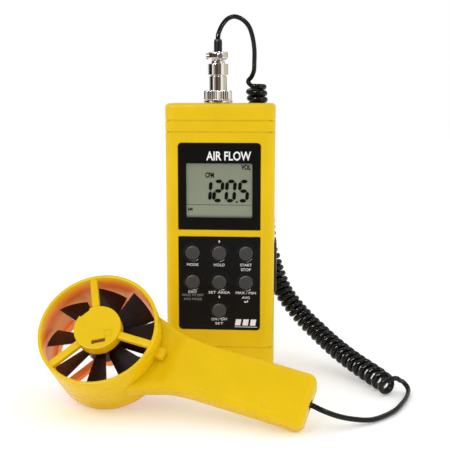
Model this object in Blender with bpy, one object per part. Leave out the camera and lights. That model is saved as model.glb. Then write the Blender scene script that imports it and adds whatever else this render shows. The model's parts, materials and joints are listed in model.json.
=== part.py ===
import math

import bmesh
import bpy
from mathutils import Matrix, Vector
from mathutils.geometry import interpolate_bezier

MM = 0.001
WELD = 0.000008

# meter case
CASE_HALF_W = 36.0
CASE_HALF_D = 16.0
CASE_H = 180.0
CASE_CORNER = 7.0
SPLIT_Y = 2.0
WALL_FRONT_Y = -13.8
WALL_BACK_Y = 13.0
WALL_SIDE_X = 33.8
FLOOR_Z = 2.5
ROOF_Z = 177.5
GROOVE_Z = (18.0, 161.5, 169.0)
GROOVE_DEPTH = 0.6
GAP = 0.3

# front panels
BEZEL_HALF_W = 27.0
BEZEL_Z = (97.5, 154.5)
WINDOW_HALF_W = 21.7
WINDOW_Z = (105.6, 141.2)
OVERLAY_Z = (30.0, 92.8)
PANEL_BACK_Y = -15.2
PANEL_SEAT_Y = -14.9

# keys
KEY_PITCH = 17.7
KEY_ROWS_Z = (82.0, 62.4, 43.2)
KEY_R = 4.85
KEY_HOLE_R = 5.15

# plug and socket
PLUG_X = -2.0

# stand
STAND_HALF_W = 15.0
STAND_PIN_Y = 14.5
STAND_PIN_Z = 141.0

# probe, in its own frame: u along the handle, v across it, n out of the vane ring's front
PROBE_CENTRE = (-64.75, -97.24, 51.35)
PROBE_U = (0.9478, -0.2603, -0.1800)
PROBE_N = (-0.0719, -0.7372, 0.6718)
RING_R = 36.0
RING_BACK_R = 35.0
RING_INNER_R = 33.8
RING_DEPTH = 38.4
HANDLE_END = 129.4
HANDLE_HALF_W = 16.1
HANDLE_FRONT = -12.6
HANDLE_BACK = -28.2
HANDLE_SPLIT = -20.4
HANDLE_EDGE = 4.0
SPOKE_ANGLES = (0.0, 120.0, 240.0)
HUB_SLOT_ANGLE = -60.0
BLADE_COUNT = 8
BLADE_TIP_R = 32.6
BLADE_ROOT_HALF = 4.7
BLADE_TIP_HALF = 10.6
BLADE_PITCH = 35.0
BLADE_MID_N = -14.5
BLADE_START = 0.36
REAR_FRONT_N = -29.6
REAR_BACK_N = -35.4

# cord
CORD_R = 1.55
COIL_R = 6.5
ARCH = ((-2.0, 0.0, 222.1), (-1.7, 0.7, 225.4), (0.5, 4.0, 231.0), (3.9, 6.8, 235.2), (8.4, 9.0, 236.8),
        (13.6, 11.2, 234.9), (17.7, 13.5, 230.4), (20.0, 15.8, 223.5), (21.1, 18.0, 215.3),
        (21.0, 20.4, 207.1), (20.5, 22.9, 200.6), (19.4, 25.2, 196.0))
COIL = ((21.9, 27.0, 192.4), (24.6, 27.0, 165.0), (26.4, 27.0, 140.4), (28.7, 27.0, 105.3),
        (30.4, 27.0, 80.2), (33.1, 27.0, 71.6), (35.9, 26.5, 62.4), (41.7, 25.5, 48.5),
        (50.3, 23.0, 36.9), (58.8, 18.5, 28.4), (66.4, 12.5, 22.6), (73.8, 4.5, 17.5),
        (81.1, -5.0, 13.6), (89.7, -17.0, 10.1), (97.7, -29.0, 7.8), (105.3, -45.2, 6.8),
        (108.8, -56.0, 6.8))
TAIL = ((116.0, -51.8, 9.2), (117.9, -49.5, 7.9), (119.6, -48.1, 6.0), (121.2, -48.3, 4.0),
        (121.5, -51.2, 2.4), (120.1, -58.2, 1.85), (117.6, -67.0, 1.8), (110.8, -84.1, 1.8), (102.7, -95.8, 1.8),
        (94.0, -103.8, 2.1), (84.3, -109.2, 4.2), (74.8, -114.2, 7.6), (66.0, -117.3, 11.8),
        (60.3, -116.1, 14.1))

YELLOW = (0.80, 0.53, 0.02)
BLACK = (0.02, 0.02, 0.022)
DARK_GREY = (0.06, 0.06, 0.065)
NICKEL = (0.62, 0.61, 0.58)
STEEL = (0.55, 0.56, 0.58)


def clear_scene():
    for item in list(bpy.data.objects):
        bpy.data.objects.remove(item, do_unlink=True)


def material(name, colour, roughness, metallic=0.0, alpha=1.0):
    mat = bpy.data.materials.new(name)
    mat.use_nodes = True
    shader = mat.node_tree.nodes["Principled BSDF"]
    shader.inputs["Base Color"].default_value = (*colour, 1.0)
    shader.inputs["Roughness"].default_value = roughness
    shader.inputs["Metallic"].default_value = metallic
    shader.inputs["Alpha"].default_value = alpha
    mat.diffuse_color = (*colour, alpha)
    return mat


def solid(name, points, faces):
    """Makes one closed body from points in millimetres, with its faces turned outwards."""
    mesh = bpy.data.meshes.new(name)
    mesh.from_pydata([Vector(p) * MM for p in points], [], faces)
    work = bmesh.new()
    work.from_mesh(mesh)
    bmesh.ops.recalc_face_normals(work, faces=work.faces)
    if work.calc_volume(signed=True) < 0:
        bmesh.ops.reverse_faces(work, faces=work.faces)
    work.to_mesh(mesh)
    work.free()
    item = bpy.data.objects.new(name, mesh)
    bpy.context.scene.collection.objects.link(item)
    return item


def loft(name, rings):
    """Joins closed loops of equal length and caps both ends."""
    count = len(rings[0])
    points = [p for ring in rings for p in ring]
    faces = [tuple(range(count))]
    for level in range(len(rings) - 1):
        low = level * count
        for i in range(count):
            j = (i + 1) % count
            faces.append((low + i, low + j, low + count + j, low + count + i))
    faces.append(tuple(range((len(rings) - 1) * count, len(rings) * count)))
    return solid(name, points, faces)


def oriented(point, axis):
    """Turns a point given with its height third so that the height runs along the axis."""
    a, b, h = point
    if axis == "X":
        return (h, a, b)
    if axis == "Y":
        return (a, h, b)
    return (a, b, h)


def prism(name, outline, low, high, axis="Z"):
    return loft(name, [[oriented((a, b, h), axis) for a, b in outline] for h in (low, high)])


def box(name, low, high):
    outline = ((low[0], low[1]), (high[0], low[1]), (high[0], high[1]), (low[0], high[1]))
    return prism(name, outline, low[2], high[2])


def rounded(half_a, half_b, radius, steps=6, centre=(0.0, 0.0), lower=None):
    """Outline of a rectangle with round corners, the lower two of another radius if one is given."""
    points = []
    upper_radius = max(radius, 0.05)
    lower_radius = upper_radius if lower is None else max(lower, 0.05)
    corners = ((1, -1, -90), (1, 1, 0), (-1, 1, 90), (-1, -1, 180))
    for sign_a, sign_b, start in corners:
        radius = upper_radius if sign_b > 0 else lower_radius
        for k in range(steps + 1):
            angle = math.radians(start + 90.0 * k / steps)
            points.append((centre[0] + sign_a * (half_a - radius) + radius * math.cos(angle),
                           centre[1] + sign_b * (half_b - radius) + radius * math.sin(angle)))
    return points


def lathe(name, profile, centre=(0.0, 0.0), axis="Z", segments=24):
    """Turns a closed (radius, height) outline about an axis through the centre."""
    points, faces, rows = [], [], []
    for radius, height in profile:
        if radius <= 0:
            rows.append([len(points)] * segments)
            points.append(oriented((centre[0], centre[1], height), axis))
            continue
        row = []
        for k in range(segments):
            angle = 2.0 * math.pi * k / segments
            row.append(len(points))
            points.append(oriented((centre[0] + radius * math.cos(angle),
                                    centre[1] + radius * math.sin(angle), height), axis))
        rows.append(row)
    for i in range(len(rows)):
        first, second = rows[i], rows[(i + 1) % len(rows)]
        for k in range(segments):
            n = (k + 1) % segments
            corners = []
            for index in (first[k], first[n], second[n], second[k]):
                if index not in corners:
                    corners.append(index)
            if len(corners) > 2:
                faces.append(tuple(corners))
    return solid(name, points, faces)


def rod(name, radius, low, high, centre=(0.0, 0.0), axis="Z", segments=24):
    return lathe(name, ((0, low), (radius, low), (radius, high), (0, high)), centre, axis, segments)


def tube(name, outer, inner, low, high, centre=(0.0, 0.0), axis="Z", segments=32):
    profile = ((inner, low), (outer, low), (outer, high), (inner, high))
    return lathe(name, profile, centre, axis, segments)


def tidy_mesh(mesh):
    """Welds points that lie within a hundredth of a millimetre or so of each other."""
    work = bmesh.new()
    work.from_mesh(mesh)
    bmesh.ops.remove_doubles(work, verts=work.verts, dist=WELD)
    bmesh.ops.dissolve_degenerate(work, edges=work.edges, dist=WELD)
    work.to_mesh(mesh)
    work.free()


def combine(target, tools, operation):
    """Applies an exact Boolean with each tool in turn, then removes the tool."""
    for tool in tools:
        tool.hide_render = True
        tool.display_type = "WIRE"
        step = target.modifiers.new(operation.lower(), "BOOLEAN")
        step.operation = operation
        step.solver = "EXACT"
        step.object = tool
        bpy.context.view_layer.update()
        graph = bpy.context.evaluated_depsgraph_get()
        mesh = bpy.data.meshes.new_from_object(target.evaluated_get(graph))
        target.modifiers.clear()
        target.data = mesh
        tidy_mesh(mesh)
        bpy.data.objects.remove(tool, do_unlink=True)
    return target


def cut(target, *tools):
    return combine(target, tools, "DIFFERENCE")


def fuse(target, *tools):
    return combine(target, tools, "UNION")


def finish(item, colour, roughness, metallic=0.0, alpha=1.0, smooth=False, origin=None):
    """Cleans the mesh, gives the piece its material and moves its origin to the joint."""
    tidy_mesh(item.data)
    item.data.materials.clear()
    item.data.materials.append(material(item.name + "_mat", colour, roughness, metallic, alpha))
    for face in item.data.polygons:
        face.material_index = 0
        face.use_smooth = smooth
    if smooth:
        item.data.set_sharp_from_angle(angle=math.radians(35))
    if origin is not None:
        item.data.transform(Matrix.Translation(-Vector(origin) * MM))
        item.location = Vector(origin) * MM
    return item


def smooth_path(knots, count):
    """Evenly spaced points on a curve through the knots."""
    ends = [Vector(knots[0]) * 2 - Vector(knots[1]), Vector(knots[-1]) * 2 - Vector(knots[-2])]
    full = [ends[0]] + [Vector(k) for k in knots] + [ends[1]]
    dense = []
    for i in range(1, len(full) - 2):
        low, high = full[i], full[i + 1]
        first = low + (high - full[i - 1]) / 6.0
        second = high - (full[i + 2] - low) / 6.0
        dense += interpolate_bezier(low, first, second, high, 12)[:-1]
    dense.append(full[-2])
    lengths = [0.0]
    for a, b in zip(dense, dense[1:]):
        lengths.append(lengths[-1] + (b - a).length)
    points, at = [], 0
    for k in range(count):
        goal = lengths[-1] * k / (count - 1)
        while at < len(dense) - 2 and lengths[at + 1] < goal:
            at += 1
        span = max(lengths[at + 1] - lengths[at], 1e-9)
        points.append(dense[at].lerp(dense[at + 1], min(1.0, (goal - lengths[at]) / span)))
    return points


def cord_solid(name, knots, radius, count, sides):
    """A plain tube along a path, with flat ends."""
    path = smooth_path(knots, count)
    side = Vector((0.31, 0.92, 0.24))
    rings = []
    for k, point in enumerate(path):
        ahead, behind = path[min(k + 1, count - 1)], path[max(k - 1, 0)]
        along = (ahead - behind).normalized()
        side = (side - along * side.dot(along)).normalized()
        other = along.cross(side)
        ring = []
        for s in range(sides):
            angle = 2.0 * math.pi * s / sides
            reach = side * math.cos(angle) + other * math.sin(angle)
            ring.append(tuple(point + reach * radius))
        rings.append(ring)
    return finish(loft(name, rings), BLACK, 0.45, smooth=True)


def case_block(name):
    """The whole outside of the case, with its rounded ends and the grooves all round."""
    levels = [(0.0, 2.5), (0.7, 0.75), (2.5, 0.0)]
    for z in GROOVE_Z:
        levels += [(z - 0.5, 0.0), (z - 0.4, GROOVE_DEPTH), (z + 0.4, GROOVE_DEPTH), (z + 0.5, 0.0)]
    levels += [(CASE_H - 2.5, 0.0), (CASE_H - 0.7, 0.75), (CASE_H, 2.5)]
    rings = []
    for z, inset in levels:
        outline = rounded(CASE_HALF_W - inset, CASE_HALF_D - inset, CASE_CORNER - inset)
        rings.append([(a, b, z) for a, b in outline])
    return loft(name, rings)


def key_places():
    names = ("key_mode", "key_hold", "key_start_stop", "key_exit", "key_area", "key_max_min")
    places = []
    for index, name in enumerate(names):
        places.append((name, (index % 3 - 1) * KEY_PITCH, KEY_ROWS_Z[index // 3]))
    places.append(("key_power", 0.0, KEY_ROWS_Z[2]))
    return places


def case_screw_places():
    return [(x, z) for x in (-30.0, 30.0) for z in (10.0, 171.0)]


def build_case():
    front = case_block("front_case")
    inside = box("c1", (-WALL_SIDE_X, WALL_FRONT_Y, FLOOR_Z), (WALL_SIDE_X, 30.0, ROOF_Z))
    back_half = box("c2", (-60.0, SPLIT_Y - GAP / 2, -5.0), (60.0, 60.0, 190.0))
    tools = [back_half, inside]
    upper = rounded(BEZEL_HALF_W + 0.2, (BEZEL_Z[1] - BEZEL_Z[0]) / 2 + 0.2, 2.6, 4,
                    (0.0, sum(BEZEL_Z) / 2), 0.7)
    tools.append(prism("c3", upper, -20.0, PANEL_SEAT_Y, "Y"))
    lower = rounded(BEZEL_HALF_W + 0.2, (OVERLAY_Z[1] - OVERLAY_Z[0]) / 2 + 0.2, 0.7, 4,
                    (0.0, sum(OVERLAY_Z) / 2), 2.6)
    tools.append(prism("c4", lower, -20.0, PANEL_SEAT_Y, "Y"))
    tools.append(box("c5", (-22.5, -18.0, 104.0), (22.5, -12.0, 143.0)))
    cut(front, *tools)
    tools = [rod("c6", KEY_HOLE_R, -18.0, -12.0, (x, z), "Y", 20) for _, x, z in key_places()]
    cut(front, *tools)
    places = case_screw_places()
    fuse(front, *[rod("b1", 3.2, WALL_FRONT_Y - 0.6, SPLIT_Y - GAP / 2, place, "Y") for place in places])
    tools = [rod("c7", 1.5, -10.0, 5.0, place, "Y", 16) for place in places]
    tools += side_tools() + [rod("c8", 7.6, 170.0, 190.0, (PLUG_X, 0.0))]
    cut(front, *tools)
    finish(front, YELLOW, 0.35)

    rear = case_block("rear_case")
    cut(rear, box("c1", (-60.0, -60.0, -5.0), (60.0, SPLIT_Y + GAP / 2, 190.0)),
        box("c2", (-WALL_SIDE_X, -30.0, FLOOR_Z), (WALL_SIDE_X, WALL_BACK_Y, ROOF_Z)))
    bosses = [rod("b2", 3.4, SPLIT_Y + GAP / 2, WALL_BACK_Y + 0.6, place, "Y") for place in places]
    bosses.append(rod("b3", 2.6, 5.0, WALL_BACK_Y + 0.4, (0.0, 72.5), "Y"))
    fuse(rear, *bosses)
    tools = [rod("c3", 3.0, 12.5, 20.0, place, "Y") for place in places]
    tools += [rod("c4", 1.5, -1.0, 15.0, place, "Y", 16) for place in places]
    tools += [box("c5", (-21.3, 13.7, 12.0), (21.3, 20.0, 76.0)),
              box("c6", (-18.0, 8.0, 15.0), (18.0, 15.0, 69.0)),
              rod("c7", 1.4, 4.0, 15.0, (0.0, 72.5), "Y", 16)]
    tools += side_tools() + [rod("c8", 7.6, 170.0, 190.0, (PLUG_X, 0.0))]
    cut(rear, *tools)
    cut(rear, box("c9", (-STAND_HALF_W - 0.4, 14.0, 87.6), (STAND_HALF_W + 0.4, 20.0, 139.6)),
        box("c10", (-STAND_HALF_W - 0.4, 10.0, 138.6), (STAND_HALF_W + 0.4, 20.0, 143.4)),
        rod("c11", 1.0, -18.6, 18.6, (STAND_PIN_Y, STAND_PIN_Z), "X", 16),
        box("c12", (-6.0, 14.6, 82.0), (6.0, 20.0, 90.0)))
    finish(rear, YELLOW, 0.35)


def side_tools():
    """The seat of the side strip and the two jack holes behind it."""
    seat = prism("s1", rounded(6.8, 17.3, 1.0, 2, (0.0, 71.0)), 34.8, 40.0, "X")
    holes = [rod("s2", 4.2, 30.0, 37.0, (0.0, z), "X") for z in (63.0, 79.0)]
    return [seat] + holes


def build_front_panels():
    upper = rounded(BEZEL_HALF_W, (BEZEL_Z[1] - BEZEL_Z[0]) / 2, 2.4, 4, (0.0, sum(BEZEL_Z) / 2), 0.5)
    bezel = prism("display_bezel", upper, -CASE_HALF_D, PANEL_BACK_Y, "Y")
    cut(bezel, box("c1", (-WINDOW_HALF_W, -20.0, WINDOW_Z[0]), (WINDOW_HALF_W, -10.0, WINDOW_Z[1])))
    finish(bezel, BLACK, 0.25)
    window = box("display_window", (-WINDOW_HALF_W + GAP, -15.9, WINDOW_Z[0] + GAP),
                 (WINDOW_HALF_W - GAP, PANEL_BACK_Y, WINDOW_Z[1] - GAP))
    finish(window, (0.85, 0.88, 0.85), 0.05, alpha=0.3)
    finish(box("lcd_glass", (-22.1, -14.8, 104.4), (22.1, -12.9, 142.6)), (0.33, 0.36, 0.28), 0.3)
    holder = box("lcd_holder", (-25.5, -13.4, 101.0), (25.5, -10.4, 146.0))
    cut(holder, box("c1", (-22.5, -14.0, 104.0), (22.5, -12.4, 143.0)),
        box("c2", (-19.5, -14.0, 107.0), (19.5, -9.0, 140.0)))
    finish(holder, (0.7, 0.7, 0.68), 0.5)
    lower = rounded(BEZEL_HALF_W, (OVERLAY_Z[1] - OVERLAY_Z[0]) / 2, 0.5, 4, (0.0, sum(OVERLAY_Z) / 2), 2.4)
    overlay = prism("keypad_overlay", lower, -CASE_HALF_D, PANEL_BACK_Y, "Y")
    cut(overlay, *[rod("c1", KEY_HOLE_R, -18.0, -12.0, (x, z), "Y", 20) for _, x, z in key_places()])
    finish(overlay, BLACK, 0.4)
    mat = box("key_mat", (-26.0, -11.3, 34.0), (26.0, -10.3, 91.0))
    finish(mat, (0.25, 0.25, 0.27), 0.7)


def build_keys():
    profile = ((0, -17.5), (1.7, -17.42), (3.2, -17.12), (4.3, -16.6), (KEY_R, -16.0),
               (KEY_R, -13.4), (5.9, -13.4), (5.9, -12.5), (0, -12.5))
    for name, x, z in key_places():
        key = lathe(name, profile, (x, z), "Y", 20)
        finish(key, DARK_GREY, 0.5, smooth=True, origin=(x, -17.5, z))


def build_inside():
    board = box("main_board", (-31.0, -9.9, 24.0), (31.0, -8.3, 163.0))
    finish(board, (0.02, 0.16, 0.06), 0.5)
    finish(box("processor_chip", (-9.0, -8.0, 104.0), (9.0, -6.2, 122.0)), BLACK, 0.5)
    battery = prism("battery", rounded(13.2, 8.7, 1.5, 3, (0.0, 3.2)), 14.0, 60.0)
    finish(battery, (0.30, 0.31, 0.33), 0.35, 0.4)
    snap = prism("battery_snap", rounded(12.4, 7.6, 1.5, 3, (0.0, 3.0)), 60.4, 64.0)
    finish(snap, BLACK, 0.6)
    cover = prism("battery_cover", rounded(21.0, 31.7, 1.2, 2, (0.0, 44.0)), 14.0, CASE_HALF_D, "Y")
    cut(cover, rod("c1", 2.5, 14.6, 17.0, (0.0, 72.5), "Y"),
        rod("c2", 1.4, 13.0, 17.0, (0.0, 72.5), "Y", 16))
    finish(cover, YELLOW, 0.35, origin=(0.0, 15.0, 44.0))
    screw("battery_cover_screw", (0.0, 72.5), 8.0, 14.9, 15.9, 1.1, 2.2)
    for index, place in enumerate(case_screw_places()):
        screw("case_screw_%d" % (index + 1), place, -8.0, 12.8, 14.6, 1.2, 2.6)


def screw(name, place, tip, under_head, top, shank, head):
    """A round-headed screw along Y with a slot for the driver."""
    profile = ((0, tip), (shank, tip + 0.8), (shank, under_head), (head, under_head),
               (head, top - 0.3), (head - 0.3, top), (0, top))
    item = lathe(name, profile, place, "Y", 16)
    slot = box("slot", (place[0] - head - 1, top - 0.6, place[1] - 0.35),
               (place[0] + head + 1, top + 1, place[1] + 0.35))
    cut(item, slot)
    return finish(item, STEEL, 0.3, 1.0, smooth=True, origin=(place[0], top, place[1]))


def build_side():
    plate = prism("side_jack_strip", rounded(6.5, 17.0, 1.0, 2, (0.0, 71.0)), 35.1, 37.4, "X")
    cut(plate, rod("c1", 3.4, 34.0, 40.0, (0.0, 79.0), "X"), rod("c2", 3.9, 34.0, 40.0, (0.0, 63.0), "X"))
    finish(plate, BLACK, 0.5)
    data = ((0, 24.0), (3.1, 24.0), (3.1, 37.2), (1.75, 37.2), (1.75, 27.0), (0, 27.0))
    finish(lathe("data_jack", data, (0.0, 79.0), "X", 24), DARK_GREY, 0.4, smooth=True)
    power = ((0, 23.0), (3.6, 23.0), (3.6, 37.2), (2.75, 37.2), (2.75, 27.0), (0.7, 27.0), (0.7, 36.0),
             (0, 36.4))
    finish(lathe("power_jack", power, (0.0, 63.0), "X", 24), DARK_GREY, 0.4, smooth=True)


def build_stand():
    knuckle = rod("stand", 1.9, -STAND_HALF_W, STAND_HALF_W, (STAND_PIN_Y, STAND_PIN_Z), "X", 24)
    outline = rounded(STAND_HALF_W, 26.4, 2.0, 3, (0.0, 114.4))
    plate = prism("plate", outline, 14.35, 16.0, "Y")
    fuse(knuckle, plate)
    cut(knuckle, rod("c1", 1.0, -20.0, 20.0, (STAND_PIN_Y, STAND_PIN_Z), "X", 16))
    knuckle.name = "tilt_stand"
    finish(knuckle, YELLOW, 0.35, origin=(0.0, STAND_PIN_Y, STAND_PIN_Z))
    pin = rod("stand_pin", 0.7, -18.2, 18.2, (STAND_PIN_Y, STAND_PIN_Z), "X", 16)
    finish(pin, STEEL, 0.3, 1.0, smooth=True)


def knurled(name, radius, low, high, teeth):
    """A short cylinder with ribs round its outside."""
    outline = []
    for k in range(teeth * 4):
        angle = 2.0 * math.pi * k / (teeth * 4)
        size = radius - (0.45 if k % 4 in (0, 1) else 0.0)
        outline.append((PLUG_X + size * math.cos(angle), size * math.sin(angle)))
    levels = ((low, 0.96), (low + 0.5, 1.0), (high - 0.5, 1.0), (high, 0.96))
    rings = [[(PLUG_X + (a - PLUG_X) * f, b * f, z) for a, b in outline] for z, f in levels]
    return loft(name, rings)


def build_plug():
    centre = (PLUG_X, 0.0)
    socket = ((6.3, 168.0), (7.2, 168.0), (7.2, 180.3), (9.6, 180.3), (9.6, 181.9), (7.2, 181.9),
              (7.2, 185.5), (6.3, 185.5))
    finish(lathe("probe_socket", socket, centre, segments=26), NICKEL, 0.25, 1.0, smooth=True)
    corners = [polar(9.2, 60.0 * k) for k in range(6)]
    nut = prism("socket_nut", [(PLUG_X + a, b) for a, b in corners], 173.6, 177.1)
    cut(nut, rod("c1", 7.5, 170.0, 180.0, centre, segments=26))
    finish(nut, NICKEL, 0.3, 1.0)
    insert = rod("socket_insert", 6.0, 168.5, 176.4, centre, segments=26)
    pins = [(PLUG_X + a, b) for a, b in (polar(2.8, angle) for angle in (45, 135, 225, 315))]
    cut(insert, *[rod("c1", 0.8, 172.0, 180.0, p, segments=12) for p in pins])
    finish(insert, BLACK, 0.5)
    body = ((5.2, 177.0), (5.9, 177.0), (5.9, 185.8), (7.0, 185.8), (7.0, 186.8), (5.85, 186.8),
            (5.85, 197.5), (5.2, 197.5), (5.2, 198.4), (6.7, 198.4), (6.7, 205.7), (4.5, 205.7),
            (4.5, 207.7), (3.2, 207.7), (3.2, 202.0), (4.6, 202.0), (4.6, 185.5), (5.2, 185.5))
    item = lathe("plug_body", body, centre, segments=26)
    finish(item, NICKEL, 0.2, 1.0, smooth=True, origin=(PLUG_X, 0.0, 182.0))
    core = rod("plug_insert", 4.9, 177.2, 185.1, centre, segments=26)
    fuse(core, *[rod("p1", 0.5, 172.6, 178.0, p, segments=12) for p in pins])
    finish(core, (0.45, 0.40, 0.25), 0.4, 0.5)
    ring = knurled("coupling_ring", 9.25, 182.2, 188.3, 24)
    cut(ring, rod("c5", 7.55, 180.0, 187.1, centre, segments=26),
        rod("c6", 6.2, 185.0, 190.0, centre, segments=26))
    finish(ring, NICKEL, 0.25, 1.0, origin=(PLUG_X, 0.0, 185.0))
    clamp = ((3.2, 208.0), (5.2, 208.0), (6.6, 209.3), (6.6, 212.7), (6.1, 213.4), (3.2, 213.4))
    item = lathe("cable_clamp", clamp, centre, segments=26)
    cut(item, rod("c1", 2.5, -12.0, -6.2, (PLUG_X + 2.0, 210.6), "Y"),
        rod("c2", 2.5, -14.0, -8.2, (0.0, 210.6), "X"),
        rod("c3", 0.95, -12.0, -4.4, (PLUG_X + 2.0, 210.6), "Y", 12),
        rod("c4", 0.95, -14.0, -6.4, (0.0, 210.6), "X", 12))
    finish(item, NICKEL, 0.25, 1.0, smooth=True)
    clamp_screw("clamp_screw_front", (PLUG_X + 2.0, 210.6), "Y", -5.0, -6.5, -7.8)
    clamp_screw("clamp_screw_side", (0.0, 210.6), "X", -7.0, -8.5, -9.8)
    sleeve = ((1.95, 203.0), (2.7, 203.0), (2.7, 220.2), (2.3, 221.6), (1.95, 221.6))
    finish(lathe("cord_sleeve", sleeve, centre, segments=24), BLACK, 0.5, smooth=True)


def clamp_screw(name, place, axis, tip, seat, top):
    profile = ((0, tip), (0.65, tip), (0.65, seat), (2.2, seat), (2.2, top + 0.3), (1.8, top), (0, top))
    item = lathe(name, profile, place, axis, 16)
    arms = []
    for long, short in ((1.5, 0.3), (0.3, 1.5)):
        half = ((-long, -short), (long, -short), (long, short), (-long, short))
        outline = [(place[0] + a, place[1] + b) for a, b in half]
        arms.append(prism("arm", outline, top - 1.0, top + 0.6, axis))
    cut(item, *arms)
    return finish(item, STEEL, 0.25, 1.0, smooth=True)


def probe_matrix():
    along = Vector(PROBE_U).normalized()
    out = Vector(PROBE_N)
    out = (out - along * out.dot(along)).normalized()
    across = out.cross(along)
    turn = Matrix((along, across, out)).transposed().to_4x4()
    return Matrix.Translation(Vector(PROBE_CENTRE) * MM) @ turn


def place_probe(item, colour, roughness, metallic=0.0, smooth=False, spin=False):
    """Moves a piece made in the probe's frame to where the probe lies."""
    item.data.transform(probe_matrix())
    origin = PROBE_CENTRE if spin else None
    return finish(item, colour, roughness, metallic, smooth=smooth, origin=origin)


def polar(radius, degrees):
    return (radius * math.cos(math.radians(degrees)), radius * math.sin(math.radians(degrees)))


def bar(name, start, end, half_w, low, high, angle):
    """A straight spoke from one radius to another at an angle."""
    corners = ((start, -half_w), (end, -half_w), (end, half_w), (start, half_w))
    c, s = polar(1.0, angle)
    return prism(name, [(c * a - s * b, s * a + c * b) for a, b in corners], low, high)


def handle_half_width(u):
    """Half width of the handle, flaring out towards the vane ring."""
    knots = ((20.0, 27.4), (25.9, 24.9), (32.5, 22.6), (40.9, 19.8), (48.3, 17.6), (59.2, 16.3),
             (72.0, HANDLE_HALF_W))
    if u >= knots[-1][0]:
        return HANDLE_HALF_W
    for (a, wa), (b, wb) in zip(knots, knots[1:]):
        if u <= b:
            return wa + (wb - wa) * (u - a) / (b - a)
    return HANDLE_HALF_W


def handle_outline(inset, ring_radius=RING_R + 0.35):
    """Outline of the handle pulled in by the inset, hollowed where it holds the vane ring."""
    angle = 60.0
    while handle_half_width(ring_radius * math.cos(math.radians(angle))) - inset < \
            ring_radius * math.sin(math.radians(angle)) and angle > 5.0:
        angle -= 0.25
    start_u = ring_radius * math.cos(math.radians(angle))
    end, corner = HANDLE_END - inset, 5.0
    side = []
    for k in range(10):
        u = start_u + (end - corner - start_u) * (k / 9.0) ** 1.5
        side.append((u, handle_half_width(u) - inset))
    width = HANDLE_HALF_W - inset
    for k in range(1, 6):
        turn = math.radians(90.0 - 18.0 * k)
        side.append((end - corner + corner * math.cos(turn), width - corner + corner * math.sin(turn)))
    lower = [(u, -v) for u, v in reversed(side)]
    arc = [polar(ring_radius, -angle + 2.0 * angle * k / 12.0) for k in range(1, 12)]
    return [(u, v) for u, v in side] + lower + arc


def handle_block(name, levels, ring_radius=RING_R + 0.35):
    return loft(name, [[(u, v, n) for u, v in handle_outline(inset, ring_radius)] for n, inset in levels])


def build_handle():
    edge = HANDLE_EDGE
    front = handle_block("handle_front", ((HANDLE_FRONT, edge), (HANDLE_FRONT - 0.55, edge * 0.5),
                                          (HANDLE_FRONT - 1.8, edge * 0.16), (HANDLE_FRONT - edge, 0.0),
                                          (HANDLE_SPLIT + GAP / 2, 0.0)))
    cut(front, handle_block("c1", ((HANDLE_FRONT - 2.0, 4.5), (HANDLE_SPLIT - 2.0, 2.2)), RING_R + 2.6))
    places = ((58.0, 0.0), (112.0, 0.0))
    fuse(front, *[rod("b1", 3.4, HANDLE_SPLIT + GAP / 2, HANDLE_FRONT - 1.3, p) for p in places])
    grommet_hole = rod("c2", 3.1, 120.0, 140.0, (0.0, HANDLE_SPLIT), "X", 24)
    cut(front, *[rod("c3", 1.3, HANDLE_SPLIT - 1.0, HANDLE_FRONT - 3.5, p, segments=16) for p in places],
        grommet_hole, rod("c4", 1.6, 30.0, 42.0, (0.0, HANDLE_SPLIT), "X", 16))
    place_probe(front, YELLOW, 0.35)
    rear = handle_block("handle_rear", ((HANDLE_SPLIT - GAP / 2, 0.0), (HANDLE_BACK + edge, 0.0),
                                        (HANDLE_BACK + 1.8, edge * 0.16), (HANDLE_BACK + 0.55, edge * 0.5),
                                        (HANDLE_BACK, edge)))
    cut(rear, handle_block("c1", ((HANDLE_SPLIT + 2.0, 2.2), (HANDLE_BACK + 2.0, 4.5)), RING_R + 2.6))
    fuse(rear, *[rod("b1", 3.4, HANDLE_BACK + 1.3, HANDLE_SPLIT - GAP / 2, p) for p in places])
    cut(rear, *[rod("c2", 1.3, HANDLE_BACK - 1.0, HANDLE_SPLIT + 1.0, p, segments=16) for p in places],
        *[rod("c3", 2.6, HANDLE_BACK - 1.0, HANDLE_BACK + 2.6, p, segments=24) for p in places],
        rod("c4", 3.1, 120.0, 140.0, (0.0, HANDLE_SPLIT), "X", 24),
        rod("c5", 1.6, 30.0, 42.0, (0.0, HANDLE_SPLIT), "X", 16))
    place_probe(rear, YELLOW, 0.35)
    for index, place in enumerate(places):
        head = HANDLE_BACK + 2.3
        profile = ((0, head - 1.6), (2.0, head - 1.6), (2.2, head - 1.3), (2.2, head), (1.0, head),
                   (1.0, HANDLE_FRONT - 4.5), (0, HANDLE_FRONT - 4.0))
        item = lathe("handle_screw_%d" % (index + 1), profile, place, segments=20)
        place_probe(item, STEEL, 0.3, 1.0, smooth=True)
    bush = ((0, 123.5), (2.7, 123.5), (2.7, HANDLE_END), (1.9, HANDLE_END), (1.9, 125.5), (0, 125.5))
    place_probe(lathe("cord_grommet", bush, (0.0, HANDLE_SPLIT), "X", 24), BLACK, 0.6, smooth=True)


def blade_outline():
    """A blade laid flat: wide at its curved tip, narrow at the hub."""
    lean = math.cos(math.radians(BLADE_PITCH))
    points = [(11.2, -BLADE_ROOT_HALF)]
    for k in range(-4, 5):
        half = BLADE_TIP_HALF * k / 4.0
        points.append((math.sqrt(BLADE_TIP_R ** 2 - (half * lean) ** 2), half))
    return points + [(11.2, BLADE_ROOT_HALF)]


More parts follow.
